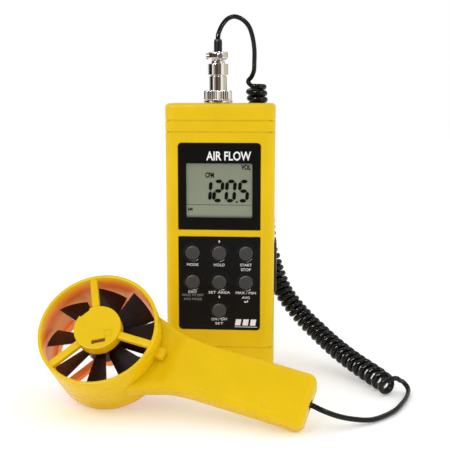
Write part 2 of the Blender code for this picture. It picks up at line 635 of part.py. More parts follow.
def build_vane():
    profile = ((RING_INNER_R, -0.8), (RING_INNER_R + 0.5, 0.0), (RING_R - 0.7, 0.0), (RING_R, -0.8),
               (RING_R, -8.0), (RING_BACK_R, -RING_DEPTH + 0.6), (RING_BACK_R - 0.6, -RING_DEPTH),
               (RING_INNER_R, -RING_DEPTH))
    housing = lathe("vane_housing", profile, segments=56)
    cup = ((0, 0.8), (13.4, 0.8), (14.1, 0.1), (14.1, -6.6), (12.9, -6.6), (12.9, -1.2), (0, -1.2))
    hub = lathe("h1", cup, segments=40)
    spokes = [bar("h2", 13.4, RING_INNER_R + 0.8, 2.25, -4.2, -0.5, a) for a in SPOKE_ANGLES]
    tab = prism("h3", rounded(3.0, 3.2, 0.8, 2, (38.0, 0.0)), HANDLE_FRONT + GAP, -8.6)
    boss = tube("h4", 3.4, 2.3, -5.4, -1.0, segments=24)
    fuse(housing, hub, *spokes, tab, boss)
    cut(housing, bar("c1", 7.8, 10.4, 4.1, -4.0, 3.0, HUB_SLOT_ANGLE))
    place_probe(housing, YELLOW, 0.35)

    guard = tube("rear_guard", 33.5, 32.2, REAR_BACK_N, REAR_FRONT_N, segments=48)
    hub = rod("g1", 8.0, REAR_BACK_N, REAR_FRONT_N + 2.6, segments=32)
    spokes = [bar("g2", 6.0, 32.8, 2.25, REAR_BACK_N + 0.8, REAR_FRONT_N - 0.4, a) for a in SPOKE_ANGLES]
    fuse(guard, hub, *spokes)
    cut(guard, rod("c1", 2.4, REAR_BACK_N + 3.0, -20.0, segments=24))
    place_probe(guard, YELLOW, 0.4)

    bearing = ((1.3, -5.2), (2.0, -5.2), (2.0, -1.6), (1.3, -1.6))
    place_probe(lathe("front_bearing", bearing, segments=16), (0.6, 0.45, 0.2), 0.3, 1.0, smooth=True)
    bearing = ((1.3, -31.9), (2.1, -31.9), (2.1, -27.2), (1.3, -27.2))
    place_probe(lathe("rear_bearing", bearing, segments=16), (0.6, 0.45, 0.2), 0.3, 1.0, smooth=True)
    board = tube("pickup_board", 12.2, 3.9, -2.9, -1.7, segments=32)
    place_probe(board, (0.35, 0.03, 0.02), 0.5)

    rotor = tube("impeller", 12.0, 1.3, -21.6, -7.2, segments=40)
    blades = []
    for k in range(BLADE_COUNT):
        blade = prism("blade", blade_outline(), -0.35, 0.35)
        blade.data.transform(Matrix.Rotation(math.radians(BLADE_PITCH), 4, "X"))
        blade.data.transform(Matrix.Translation((0.0, 0.0, BLADE_MID_N * MM)))
        blade.data.transform(Matrix.Rotation(2.0 * math.pi * (k + BLADE_START) / BLADE_COUNT, 4, "Z"))
        blades.append(blade)
    fuse(rotor, *blades)
    place_probe(rotor, BLACK, 0.35, spin=True)
    shaft = rod("rotor_shaft", 1.0, -31.6, -1.9, segments=20)
    place_probe(shaft, STEEL, 0.25, 1.0, smooth=True, spin=True)
    magnet = tube("rotor_magnet", 9.0, 3.9, -6.8, -4.4, segments=32)
    place_probe(magnet, (0.08, 0.08, 0.09), 0.4, 0.6, smooth=True, spin=True)


def build_cord():
    cord_solid("cord_lead", ARCH, CORD_R, 30, 8)
    cord_solid("cord_coil", COIL, COIL_R, 32, 16)
    cord_solid("cord_tail", TAIL, CORD_R, 40, 8)


clear_scene()
build_case()
build_front_panels()
build_keys()
build_inside()
build_side()
build_stand()
build_plug()
build_handle()
build_vane()
build_cord()
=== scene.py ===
import json
import math

import bmesh
import bpy
from mathutils import Matrix, Quaternion, Vector
from mathutils.geometry import interpolate_bezier

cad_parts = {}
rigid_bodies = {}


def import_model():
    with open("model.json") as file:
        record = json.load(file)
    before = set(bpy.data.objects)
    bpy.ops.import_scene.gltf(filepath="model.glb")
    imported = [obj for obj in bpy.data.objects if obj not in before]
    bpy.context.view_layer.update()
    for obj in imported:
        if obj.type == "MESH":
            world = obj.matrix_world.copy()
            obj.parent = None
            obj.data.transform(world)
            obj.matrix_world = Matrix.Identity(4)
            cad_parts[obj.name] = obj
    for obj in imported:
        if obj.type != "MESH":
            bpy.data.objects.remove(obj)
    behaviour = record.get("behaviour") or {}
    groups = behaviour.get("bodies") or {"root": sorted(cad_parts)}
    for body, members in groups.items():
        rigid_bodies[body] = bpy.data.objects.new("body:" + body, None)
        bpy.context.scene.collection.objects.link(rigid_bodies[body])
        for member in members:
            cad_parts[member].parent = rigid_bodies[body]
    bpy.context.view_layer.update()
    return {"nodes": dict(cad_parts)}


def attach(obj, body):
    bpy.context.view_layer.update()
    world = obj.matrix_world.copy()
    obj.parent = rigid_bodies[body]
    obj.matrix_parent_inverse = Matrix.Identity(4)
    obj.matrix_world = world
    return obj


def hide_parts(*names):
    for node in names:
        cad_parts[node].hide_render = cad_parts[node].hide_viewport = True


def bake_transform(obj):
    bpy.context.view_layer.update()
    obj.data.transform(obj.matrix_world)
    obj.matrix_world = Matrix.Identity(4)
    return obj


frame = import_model()

MM = 0.001
WELD = 0.000004

# meter case, the same sizes as the solids
CASE_HALF_W = 36.0
CASE_HALF_D = 16.0
CASE_H = 180.0
CASE_CORNER = 7.0
SPLIT_Y = 2.0
WALL_FRONT_Y = -13.8
WALL_BACK_Y = 13.0
WALL_SIDE_X = 33.8
FLOOR_Z = 2.5
ROOF_Z = 177.5
GROOVE_Z = (18.0, 161.5, 169.0)
GROOVE_PROFILE = ((-0.55, 0.0), (-0.4, 0.12), (-0.25, 0.5), (0.0, 0.6), (0.25, 0.5), (0.4, 0.12), (0.55, 0.0))
GAP = 0.3

BEZEL_HALF_W = 27.0
BEZEL_Z = (97.5, 154.5)
WINDOW_HALF_W = 21.7
WINDOW_Z = (105.6, 141.2)
OVERLAY_Z = (30.0, 92.8)
PANEL_BACK_Y = -15.2
PANEL_SEAT_Y = -14.9
GLASS_Y = -14.8
PANEL_FRONT_Y = -16.0
PANEL_EDGE = 0.25
SEAT_ROOM = 0.2
PRINT_DEPTH = 0.05
PRINT_LIFT = 0.01

KEY_PITCH = 17.7
KEY_ROWS_Z = (82.0, 62.4, 43.2)
KEY_R = 4.85
KEY_HOLE_R = 5.15
KEY_DISH_R = 6.05
DISH_Y = (-15.99, -15.5)
DISH_LEAST_FACING = 0.2

PLUG_X = -2.0
PLUG_CENTRE = (PLUG_X, 0.0)
CLAMP_BOLT_Z = 210.6

STAND_HALF_W = 15.0
STAND_PIN = (14.5, 141.0)
STAND_PIN_R = 1.0

BATTERY_DOOR_CENTRE = (0.0, 44.0)
BATTERY_SCREW = (0.0, 72.5)
JACK_STRIP_CENTRE = (0.0, 71.0)
POWER_JACK = (0.0, 63.0)
DATA_JACK = (0.0, 79.0)

PROBE_CENTRE = (-64.75, -97.24, 51.35)
PROBE_U = (0.9478, -0.2603, -0.1800)
PROBE_N = (-0.0719, -0.7372, 0.6718)
RING_R = 36.0
RING_BACK_R = 35.0
RING_INNER_R = 33.8
RING_DEPTH = 38.4
HANDLE_END = 129.4
HANDLE_HALF_W = 16.1
HANDLE_FRONT = -12.6
HANDLE_BACK = -28.2
HANDLE_SPLIT = -20.4
HANDLE_EDGE = 4.0
HANDLE_STEPS = 40
HANDLE_ROWS = 20
HANDLE_SCREWS = ((58.0, 0.0), (112.0, 0.0))
HANDLE_MARK = (106.3, -11.0)
HANDLE_MEETING_GAP = 0.005
SPOKE_ANGLES = (0.0, 120.0, 240.0)
SPOKE_HALF_W = 2.25
SPOKE_CORNER = 0.9
HUB_SLOT_ANGLE = -60.0
BLADE_COUNT = 8
BLADE_TIP_R = 32.6
BLADE_ROOT_HALF = 4.7
BLADE_TIP_HALF = 10.6
BLADE_PITCH = 35.0
BLADE_MID_N = -14.5
BLADE_START = 0.36
REAR_FRONT_N = -29.6
REAR_BACK_N = -35.4

# cord: the wire, the coil's centreline and the tail's route
CORD_R = 1.55
COIL_R = 7.0
COIL_PITCH = 4.36
COIL_WIRE_R = 2.05
COIL_LOOSE = 0.6
COIL_POINT_STEP = 0.25
LEAD_POINT_STEP = 1.2
WIRE_POINT_STEP = 1.6
WIRE_TAPER_POINTS = 12.0
CURVE_SPAN = 12
LEAD = ((-2.0, 0.0, 208.0), (-2.0, 0.0, 216.0), (-2.0, 0.0, 222.1), (-1.7, 0.7, 225.4), (0.5, 4.0, 231.0),
        (3.9, 6.8, 235.2), (8.4, 9.0, 236.8), (13.6, 11.2, 234.9), (17.7, 13.5, 230.4), (20.0, 15.8, 223.5),
        (21.1, 18.0, 215.3), (21.0, 20.4, 207.1), (20.6, 22.4, 201.4), (18.8, 24.4, 197.4),
        (16.5, 25.6, 194.4))
COIL = ((21.9, 27.0, 192.4), (24.6, 27.0, 165.0), (26.4, 27.0, 140.4), (28.7, 27.0, 105.3),
        (30.4, 27.0, 80.2), (33.1, 27.0, 71.6), (35.9, 26.5, 62.4), (41.7, 25.5, 48.5),
        (50.3, 23.0, 36.9), (58.8, 18.5, 28.4), (66.4, 12.5, 22.6), (73.8, 4.5, 17.5),
        (81.1, -5.0, 13.6), (89.7, -17.0, 10.1), (97.7, -29.0, 7.8), (105.3, -45.2, 6.8),
        (108.8, -56.0, 6.8))
TAIL = ((112.9, -54.6, 11.4), (116.0, -51.8, 9.2), (117.9, -49.5, 7.9), (119.6, -48.1, 6.0),
        (121.2, -48.3, 4.0), (121.5, -51.2, 2.4), (120.1, -58.2, 1.85), (117.6, -67.0, 1.8),
        (110.8, -84.1, 1.8), (102.7, -95.8, 1.8), (94.0, -103.8, 2.1), (84.3, -109.2, 4.2),
        (74.8, -114.2, 7.6), (66.0, -117.3, 11.8), (60.3, -116.1, 14.1), (54.5, -114.5, 15.2))

# camera, in metres and degrees
CAMERA_PLACE = (0.0493, -0.6098, 0.1886)
CAMERA_DOWN = 8.39
CAMERA_TURN = 4.38
CAMERA_LENS = 73.2
SENSOR_WIDTH = 36.0

# surroundings: even light on matt surfaces, and bands of colour that glossy surfaces mirror
FILL_BASE = 0.87
FILL_SIDES = 0.55
FILL_ABOVE = 0.03
SKY_GREY = 0.32
SKY_HEIGHTS = (0.22, 0.5)
WINDOW_LOW = (0.50, 0.56)
WINDOW_HIGH = (0.76, 0.70)
WINDOW_GAIN = 3.0
DARK, WARM, ROSY = (0.012, 0.011, 0.011), (0.07, 0.05, 0.04), (0.36, 0.28, 0.24)
WHITE, BEIGE, GREY, BROWN = (1.0, 1.0, 0.98), (0.62, 0.59, 0.48), (0.62, 0.60, 0.58), (0.20, 0.15, 0.12)
MIRROR_BANDS = ((0.06, DARK), (0.075, WHITE), (0.105, WHITE), (0.125, ROSY), (0.16, ROSY), (0.18, WARM),
                (0.25, WARM), (0.28, BROWN), (0.35, WARM), (0.37, WHITE), (0.44, WHITE), (0.47, BEIGE),
                (0.74, BEIGE), (0.76, GREY), (0.91, GREY), (0.93, DARK))
FLOOR_DROP = 0.0002
FLOOR_GLOW = 0.16


# ---------------------------------------------------------------- materials

def new_material(name, colour, roughness, metallic=0.0, specular=0.5):
    mat = bpy.data.materials.new(name)
    mat.use_nodes = True
    shader = mat.node_tree.nodes["Principled BSDF"]
    shader.inputs["Base Color"].default_value = (*colour, 1.0)
    shader.inputs["Roughness"].default_value = roughness
    shader.inputs["Metallic"].default_value = metallic
    shader.inputs["Specular IOR Level"].default_value = specular
    return mat, mat.node_tree, shader


def drive(shader, name, output):
    """Lets a node's output set one of the shader's inputs."""
    shader.id_data.links.new(output, shader.inputs[name])


def add(tree, kind, **values):
    node = tree.nodes.new(kind)
    for key, value in values.items():
        setattr(node, key, value)
    return node


def noise(tree, scale, detail=2.0, stretch=(1.0, 1.0, 1.0)):
    """Noise over the piece's own coordinates, in metres."""
    place = add(tree, "ShaderNodeTexCoord")
    grid = add(tree, "ShaderNodeMapping")
    grid.inputs["Scale"].default_value = stretch
    tex = add(tree, "ShaderNodeTexNoise")
    tex.inputs["Scale"].default_value = scale
    tex.inputs["Detail"].default_value = detail
    tree.links.new(place.outputs["Object"], grid.inputs["Vector"])
    tree.links.new(grid.outputs["Vector"], tex.inputs["Vector"])
    return tex.outputs["Fac"]


def colours(tree, factor, stops):
    """Colour that changes along a factor through (position, colour) stops; the first two are its ends."""
    ramp = add(tree, "ShaderNodeValToRGB")
    for end, (position, colour) in zip(ramp.color_ramp.elements, stops):
        end.position = position
        end.color = (*colour, 1.0)
    for position, colour in stops[2:]:
        ramp.color_ramp.elements.new(position).color = (*colour, 1.0)
    tree.links.new(factor, ramp.inputs["Fac"])
    return ramp.outputs["Color"]


def tint(tree, factor, low, high):
    """Goes from one colour to the other over the middle of the factor's range."""
    return colours(tree, factor, ((0.3, low), (0.7, high)))


def calculated(tree, operation, *values):
    """The result of a sum whose terms are numbers or other nodes' outputs."""
    node = add(tree, "ShaderNodeMath", operation=operation)
    for socket, value in zip(node.inputs, values):
        if isinstance(value, float):
            socket.default_value = value
        else:
            tree.links.new(value, socket)
    return node.outputs["Value"]


def remap(tree, value, low, high, start=0.3, end=0.7):
    node = add(tree, "ShaderNodeMapRange")
    node.inputs["From Min"].default_value = start
    node.inputs["From Max"].default_value = end
    node.inputs["To Min"].default_value = low
    node.inputs["To Max"].default_value = high
    tree.links.new(value, node.inputs["Value"])
    return node.outputs["Result"]


def bump(tree, shader, height, strength, distance):
    node = add(tree, "ShaderNodeBump")
    node.inputs["Strength"].default_value = strength
    node.inputs["Distance"].default_value = distance
    tree.links.new(height, node.inputs["Height"])
    drive(shader, "Normal", node.outputs["Normal"])


def moulded(name, colour, roughness, grain=700.0, depth=0.00003, specular=0.4):
    """Moulded plastic or rubber: slight clouding, fine grain and uneven gloss."""
    mat, tree, shader = new_material(name, colour, roughness, specular=specular)
    low = tuple(c * 0.96 for c in colour)
    high = tuple(min(1.0, c * 1.04) for c in colour)
    cloud = noise(tree, 45.0, 3.0)
    drive(shader, "Base Color", tint(tree, cloud, low, high))
    gloss = remap(tree, noise(tree, 160.0, 3.0), roughness * 0.88, roughness * 1.14)
    drive(shader, "Roughness", gloss)
    bump(tree, shader, noise(tree, grain, 2.0), 0.25, depth)
    return mat


def metal(name, colour, roughness, stretch=(1.0, 1.0, 1.0)):
    """Plated or bare metal with a fine turned or drawn grain."""
    mat, tree, shader = new_material(name, colour, roughness, metallic=1.0)
    low = tuple(c * 0.93 for c in colour)
    drive(shader, "Base Color", tint(tree, noise(tree, 300.0, 4.0), low, colour))
    grain = noise(tree, 900.0, 3.0, stretch)
    drive(shader, "Roughness", remap(tree, grain, roughness * 0.7, roughness * 1.4))
    bump(tree, shader, grain, 0.15, 0.00001)
    return mat


def along_axis(tree, axis, low, high):
    """A value from 0 to 1 as one object coordinate goes from low to high, in metres."""
    place = add(tree, "ShaderNodeTexCoord")
    split = add(tree, "ShaderNodeSeparateXYZ")
    tree.links.new(place.outputs["Object"], split.inputs["Vector"])
    return remap(tree, split.outputs[axis], 0.0, 1.0, low, high)


def ring_wall_painted_shade_glow(name):
    """The inside of the vane ring: yellow at the rim, then painted shade turning it orange and red-orange
    further in, with a painted glow.
    """
    mat, tree, shader = new_material(name, (0.78, 0.25, 0.04), 0.35, specular=0.2)
    where = add(tree, "ShaderNodeTexCoord")
    depth = add(tree, "ShaderNodeVectorMath", operation="DOT_PRODUCT")
    depth.inputs[1].default_value = Vector(PROBE_N).normalized()
    tree.links.new(where.outputs["Object"], depth.inputs[0])
    rim = Vector(PROBE_CENTRE).dot(Vector(PROBE_N).normalized()) * MM
    inward = remap(tree, depth.outputs["Value"], 0.0, 1.0, rim - 0.0015, rim - 0.026)
    wobble = calculated(tree, "MULTIPLY_ADD", noise(tree, 26.0, 3.0), 0.45, inward)
    # painted shade and bounced light: the colour deepens from yellow at the rim to red-orange further in
    stops = ((0.22, (0.80, 0.47, 0.012)), (1.1 / 1.2, (0.80, 0.33, 0.10)), (0.45, (0.80, 0.24, 0.035)),
             (0.65, (0.74, 0.14, 0.03)))
    colour = colours(tree, wobble, stops)
    drive(shader, "Base Color", colour)
    # the same colour is given off as emission: a painted glow
    drive(shader, "Emission Color", colour)
    shader.inputs["Emission Strength"].default_value = 0.22
    drive(shader, "Roughness", remap(tree, noise(tree, 160.0, 3.0), 0.3, 0.4))
    return mat


def guard_painted_shade_glow(name):
    """The rear guard: painted orange-red shade, lifted by emission as a painted glow."""
    mat, tree, shader = new_material(name, (0.85, 0.22, 0.035), 0.35, specular=0.3)
    # orange-red painted shade, given off again as emission: a painted glow
    colour = tint(tree, noise(tree, 60.0, 3.0), (0.78, 0.17, 0.03), (0.90, 0.30, 0.05))
    drive(shader, "Base Color", colour)
    drive(shader, "Emission Color", colour)
    shader.inputs["Emission Strength"].default_value = 0.30
    return mat


def display_glass(name):
    """Reflective liquid-crystal panel: grey-green, a little darker along its lower edge, and a little darker
    towards its top as painted shadow from the bezel.
    """
    mat, tree, shader = new_material(name, (0.30, 0.33, 0.235), 0.4, specular=0.3)
    height = along_axis(tree, "Z", 0.105, 0.1412)
    # darker strip along the bottom; the slight darkening towards the top is painted shadow from the bezel
    stops = ((0.0, (0.19, 0.215, 0.15)), (1.0, (0.285, 0.315, 0.22)), (0.035, (0.20, 0.225, 0.155)),
             (0.06, (0.33, 0.365, 0.265)), (0.5, (0.30, 0.335, 0.24)))
    speck = tint(tree, noise(tree, 1400.0, 2.0), (0.94, 0.94, 0.94), (1.0, 1.0, 1.0))
    mix = add(tree, "ShaderNodeMix", data_type="RGBA", blend_type="MULTIPLY")
    mix.inputs["Factor"].default_value = 1.0
    tree.links.new(colours(tree, height, stops), mix.inputs["A"])
    tree.links.new(speck, mix.inputs["B"])
    drive(shader, "Base Color", mix.outputs["Result"])
    return mat


def clear_pane(name):
    """Clear window: nearly all of the light passes, with a faint gloss."""
    mat, tree, shader = new_material(name, (0.02, 0.02, 0.02), 0.06, specular=0.25)
    drive(shader, "Roughness", remap(tree, noise(tree, 120.0, 2.0), 0.04, 0.09))
    shader.inputs["Alpha"].default_value = 0.06
    return mat


def circuit_board(name, low, high):
    """Solder mask with tracks showing through as paler lines."""
    mat, tree, shader = new_material(name, high, 0.35)
    place = add(tree, "ShaderNodeTexCoord")
    tracks = add(tree, "ShaderNodeTexBrick")
    tracks.inputs["Color1"].default_value = (*low, 1.0)
    tracks.inputs["Color2"].default_value = (*[c * 0.8 for c in low], 1.0)
    tracks.inputs["Mortar"].default_value = (*high, 1.0)
    tracks.inputs["Scale"].default_value = 160.0
    tracks.inputs["Mortar Size"].default_value = 0.06
    turn = add(tree, "ShaderNodeMapping")
    turn.inputs["Rotation"].default_value = (math.radians(90.0), 0.0, 0.0)
    tree.links.new(place.outputs["Object"], turn.inputs["Vector"])
    tree.links.new(turn.outputs["Vector"], tracks.inputs["Vector"])
    drive(shader, "Base Color", tracks.outputs["Color"])
    bump(tree, shader, tracks.outputs["Fac"], 0.3, 0.00003)
    return mat


M = {
    "case": moulded("case_plastic", (0.765, 0.505, 0.004), 0.34, depth=0.00001, specular=0.13),
    "probe": moulded("probe_plastic", (0.765, 0.50, 0.003), 0.28, depth=0.00001, specular=0.11),
    # the ring's inside wall carries painted shade and a painted glow
    "wall": ring_wall_painted_shade_glow("ring_wall_painted_shade_glow_plastic"),
    # the rear guard carries painted shade and a painted glow
    "guard": guard_painted_shade_glow("guard_painted_shade_glow_plastic"),
    "bezel": moulded("bezel_gloss", (0.0062, 0.0058, 0.0052), 0.22, depth=0.00001, specular=0.1),
    "panel": moulded("overlay_film", (0.0052, 0.0052, 0.0058), 0.34, grain=1500.0, depth=0.00001,
                     specular=0.1),
    "rim": moulded("key_rim_gloss", (0.004, 0.004, 0.0045), 0.15, depth=0.000002, specular=0.9),
    "key": moulded("key_rubber", (0.042, 0.042, 0.044), 0.42, grain=1800.0, specular=0.3),
    "print": moulded("print_white", (0.80, 0.81, 0.82), 0.5, grain=3000.0, depth=0.00001),
    "dim_print": moulded("print_grey", (0.26, 0.26, 0.27), 0.5, grain=3000.0, depth=0.00001),
    "ink": moulded("segment_ink", (0.003, 0.0035, 0.003), 0.6, grain=3000.0, depth=0.00001,
                   specular=0.03),
    "lcd": display_glass("display_panel"),
    "pane": clear_pane("window_pane"),
    "strip": moulded("strip_plastic", (0.014, 0.014, 0.015), 0.45),
    "cord": moulded("cord_jacket", (0.0022, 0.0022, 0.0026), 0.13, grain=2500.0, depth=0.000003,
                    specular=0.26),
    "sleeve": moulded("sleeve_rubber", (0.006, 0.006, 0.007), 0.35, grain=2500.0, specular=0.3),
    # red-brown tint on the black blades: painted reflection of the orange ring wall
    "blade": moulded("blade_plastic_painted_red_reflection", (0.014, 0.0065, 0.006), 0.3, specular=0.3),
    "magnet": moulded("magnet_ferrite", (0.045, 0.045, 0.05), 0.5),
    "holder": moulded("holder_plastic", (0.62, 0.62, 0.60), 0.5),
    "mat": moulded("keypad_rubber", (0.20, 0.20, 0.22), 0.65),
    "battery": moulded("battery_jacket", (0.20, 0.21, 0.23), 0.35),
    "chip": moulded("chip_epoxy", (0.016, 0.016, 0.018), 0.55),
    "board": circuit_board("board_mask", (0.015, 0.12, 0.045), (0.03, 0.22, 0.09)),
    "red_board": circuit_board("pickup_mask", (0.30, 0.03, 0.015), (0.45, 0.10, 0.05)),
    "nickel": metal("nickel_plate", (0.86, 0.83, 0.79), 0.10, (1.0, 1.0, 12.0)),
    "steel": metal("screw_steel", (0.60, 0.60, 0.62), 0.25),
    "bronze": metal("bearing_bronze", (0.62, 0.44, 0.20), 0.3),
    "brass": metal("pin_plate", (0.66, 0.52, 0.26), 0.28),
}


# ---------------------------------------------------------------- shapes, in millimetres

def link(name, data):
    item = bpy.data.objects.new(name, data)
    bpy.context.scene.collection.objects.link(item)
    return item


def solid(name, points, faces):
    """Makes one closed body from points in millimetres, with its faces turned outwards."""
    mesh = bpy.data.meshes.new(name)
    mesh.from_pydata([Vector(p) * MM for p in points], [], faces)
    work = bmesh.new()
    work.from_mesh(mesh)
    bmesh.ops.recalc_face_normals(work, faces=work.faces)
    if work.calc_volume(signed=True) < 0:
        bmesh.ops.reverse_faces(work, faces=work.faces)
    work.to_mesh(mesh)
    work.free()
    return link(name, mesh)


def loft(name, rings):
    count = len(rings[0])
    points = [p for ring in rings for p in ring]
    faces = [tuple(range(count))]
    for level in range(len(rings) - 1):
        low = level * count
        for i in range(count):
            j = (i + 1) % count
            faces.append((low + i, low + j, low + count + j, low + count + i))
    faces.append(tuple(range((len(rings) - 1) * count, len(rings) * count)))
    return solid(name, points, faces)


def oriented(point, axis):
    a, b, h = point
    if axis == "X":
        return (h, a, b)
    if axis == "Y":
        return (a, h, b)
    return (a, b, h)


def prism(name, outline, low, high, axis="Z"):
    return loft(name, [[oriented((a, b, h), axis) for a, b in outline] for h in (low, high)])


def box(name, low, high):
    outline = ((low[0], low[1]), (high[0], low[1]), (high[0], high[1]), (low[0], high[1]))
    return prism(name, outline, low[2], high[2])


def rounded(half_a, half_b, radius, steps=8, centre=(0.0, 0.0), lower=None):
    points = []
    upper_radius = max(radius, 0.05)
    lower_radius = upper_radius if lower is None else max(lower, 0.05)
    for sign_a, sign_b, start in ((1, -1, -90), (1, 1, 0), (-1, 1, 90), (-1, -1, 180)):
        radius = upper_radius if sign_b > 0 else lower_radius
        for k in range(steps + 1):
            angle = math.radians(start + 90.0 * k / steps)
            points.append((centre[0] + sign_a * (half_a - radius) + radius * math.cos(angle),
                           centre[1] + sign_b * (half_b - radius) + radius * math.sin(angle)))
    return points


def plate(name, half_a, half_b, radius, centre, levels, axis="Z", steps=8, lower=None):
    """A rounded plate through (height, inset) levels along the axis."""
    lower = radius if lower is None else lower
    rings = []
    for h, inset in levels:
        outline = rounded(half_a - inset, half_b - inset, radius - inset, steps, centre, lower - inset)
        rings.append([oriented((a, b, h), axis) for a, b in outline])
    return loft(name, rings)


def soft_edge(back, front, radius, steps=4):
    """Levels of a plate that is square at its back and rounded off at its front."""
    away = 1.0 if front > back else -1.0
    levels = [(back, 0.0)]
    for k in range(steps + 1):
        turn = math.radians(90.0 * k / steps)
        levels.append((front - away * radius * (1.0 - math.sin(turn)), radius * (1.0 - math.cos(turn))))
    return levels


def lathe(name, profile, centre=(0.0, 0.0), axis="Z", segments=64):
    points, faces, rows = [], [], []
    for radius, height in profile:
        if radius <= 0:
            rows.append([len(points)] * segments)
            points.append(oriented((centre[0], centre[1], height), axis))
            continue
        row = []
        for k in range(segments):
            angle = 2.0 * math.pi * k / segments
            row.append(len(points))
            points.append(oriented((centre[0] + radius * math.cos(angle),
                                    centre[1] + radius * math.sin(angle), height), axis))
        rows.append(row)
    for i in range(len(rows)):
        first, second = rows[i], rows[(i + 1) % len(rows)]
        for k in range(segments):
            n = (k + 1) % segments
            corners = []
            for index in (first[k], first[n], second[n], second[k]):
                if index not in corners:
                    corners.append(index)
            if len(corners) > 2:
                faces.append(tuple(corners))
    return solid(name, points, faces)


def eased(profile, radius, steps=3):
    """The same closed (radius, height) outline with its corners rounded off."""
    result = []
    count = len(profile)
    for i in range(count):
        here = Vector(profile[i])
        if here.x <= 0:
            result.append(tuple(here))
            continue
        before, after = Vector(profile[i - 1]), Vector(profile[(i + 1) % count])
        reach = min(radius, (before - here).length * 0.45, (after - here).length * 0.45)
        start = here + (before - here).normalized() * reach
        end = here + (after - here).normalized() * reach
        for k in range(steps + 1):
            t = k / steps
            point = start * (1 - t) ** 2 + here * 2 * t * (1 - t) + end * t * t
            result.append(tuple(point))
    return result


def rod(name, radius, low, high, centre=(0.0, 0.0), axis="Z", segments=48):
    return lathe(name, ((0, low), (radius, low), (radius, high), (0, high)), centre, axis, segments)


def tube(name, outer, inner, low, high, centre=(0.0, 0.0), axis="Z", segments=64):
    return lathe(name, ((inner, low), (outer, low), (outer, high), (inner, high)), centre, axis, segments)


def tidy_mesh(mesh):
    work = bmesh.new()
    work.from_mesh(mesh)
    bmesh.ops.remove_doubles(work, verts=work.verts, dist=WELD)
    bmesh.ops.dissolve_degenerate(work, edges=work.edges, dist=WELD)
    work.to_mesh(mesh)
    work.free()


def combine(target, tools, operation):
    """Applies an exact Boolean with each tool in turn, then removes the tool."""
    for tool in tools:
        step = target.modifiers.new(operation.lower(), "BOOLEAN")
        step.operation = operation
        step.solver = "EXACT"
        step.object = tool
        bpy.context.view_layer.update()
        graph = bpy.context.evaluated_depsgraph_get()
        mesh = bpy.data.meshes.new_from_object(target.evaluated_get(graph))
        target.modifiers.clear()
        target.data = mesh
        tidy_mesh(mesh)
        bpy.data.objects.remove(tool, do_unlink=True)
    return target


def cut(target, *tools):
    return combine(target, tools, "DIFFERENCE")


def fuse(target, *tools):
    return combine(target, tools, "UNION")


def paint(item, look):
    """Gives the whole piece one material."""
    item.data.materials.clear()
    item.data.materials.append(M[look])
    for face in item.data.polygons:
        face.material_index = 0


def place(item, look, body, *nodes, sharp=32.0, weighted=True):
    """Paints a piece, smooths it, hides the solids it stands for and sets it on its body."""
    tidy_mesh(item.data)
    paint(item, look)
    item.data.shade_smooth()
    item.data.set_sharp_from_angle(angle=math.radians(sharp))
    if weighted:
        normals = item.modifiers.new("weighted", "WEIGHTED_NORMAL")
        normals.keep_sharp = True
    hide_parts(*nodes)
    if body:
        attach(item, body)
    return item


# ---------------------------------------------------------------- camera, light and floor

def build_camera():
    data = bpy.data.cameras.new("camera")
    data.lens = CAMERA_LENS
    data.sensor_width = SENSOR_WIDTH
    data.clip_start = 0.01
    data.clip_end = 50.0
    item = link("camera", data)
    item.location = CAMERA_PLACE
    item.rotation_euler = (math.radians(90.0 - CAMERA_DOWN), 0.0, math.radians(CAMERA_TURN))
    bpy.context.scene.camera = item


def area_light(name, place_m, target, size, power, roll=0.0, gloss_only=False):
    """A rectangular lamp aimed at a target; a gloss-only one shows in reflections and lights nothing."""
    data = bpy.data.lights.new(name, "AREA")
    data.shape = "RECTANGLE"
    data.size = size[0]
    data.size_y = size[1]
    data.energy = power
    item = link(name, data)
    item.location = place_m
    facing = (Vector(target) - Vector(place_m)).to_track_quat("-Z", "Y")
    item.rotation_euler = (facing @ Quaternion((0.0, 0.0, 1.0), math.radians(roll))).to_euler()
    item.visible_diffuse = not gloss_only


def fill_strength(tree, direction):
    """Light on matt surfaces: even, stronger from the left and right and a little from above."""
    across = calculated(tree, "POWER", direction["X"], 2.0)
    sides = calculated(tree, "MULTIPLY_ADD", across, FILL_SIDES, FILL_BASE)
    return calculated(tree, "MULTIPLY_ADD", direction["Z"], FILL_ABOVE, sides)


def mirrored_colour(tree, heading, height):
    """What glossy surfaces mirror: upright bands round the object, fading to grey overhead."""
    turn = add(tree, "ShaderNodeTexGradient", gradient_type="RADIAL")
    tree.links.new(heading, turn.inputs["Vector"])
    bands = colours(tree, turn.outputs["Fac"], ((0.0, DARK), (1.0, DARK), *MIRROR_BANDS))
    sky = add(tree, "ShaderNodeMix", data_type="RGBA")
    sky.inputs["B"].default_value = (SKY_GREY, SKY_GREY, SKY_GREY, 1.0)
    tree.links.new(remap(tree, height, 0.0, 1.0, *SKY_HEIGHTS), sky.inputs["Factor"])
    tree.links.new(bands, sky.inputs["A"])
    return sky.outputs["Result"]


def mirrored_strength(tree, height):
    """A brighter band, as of high windows, between two heights."""
    rise = remap(tree, height, 0.0, 1.0, *WINDOW_LOW)
    fall = remap(tree, height, 0.0, WINDOW_GAIN, *WINDOW_HIGH)
    return calculated(tree, "MULTIPLY_ADD", rise, fall, 1.0)


def background(tree):
    node = add(tree, "ShaderNodeBackground")
    node.inputs["Color"].default_value = (1.0, 1.0, 1.0, 1.0)
    return node


def chosen(tree, ray, otherwise, shader):
    """One shader for rays of a kind, another for the rest."""
    node = add(tree, "ShaderNodeMixShader")
    tree.links.new(ray, node.inputs["Fac"])
    tree.links.new(otherwise, node.inputs[1])
    tree.links.new(shader, node.inputs[2])
    return node.outputs["Shader"]


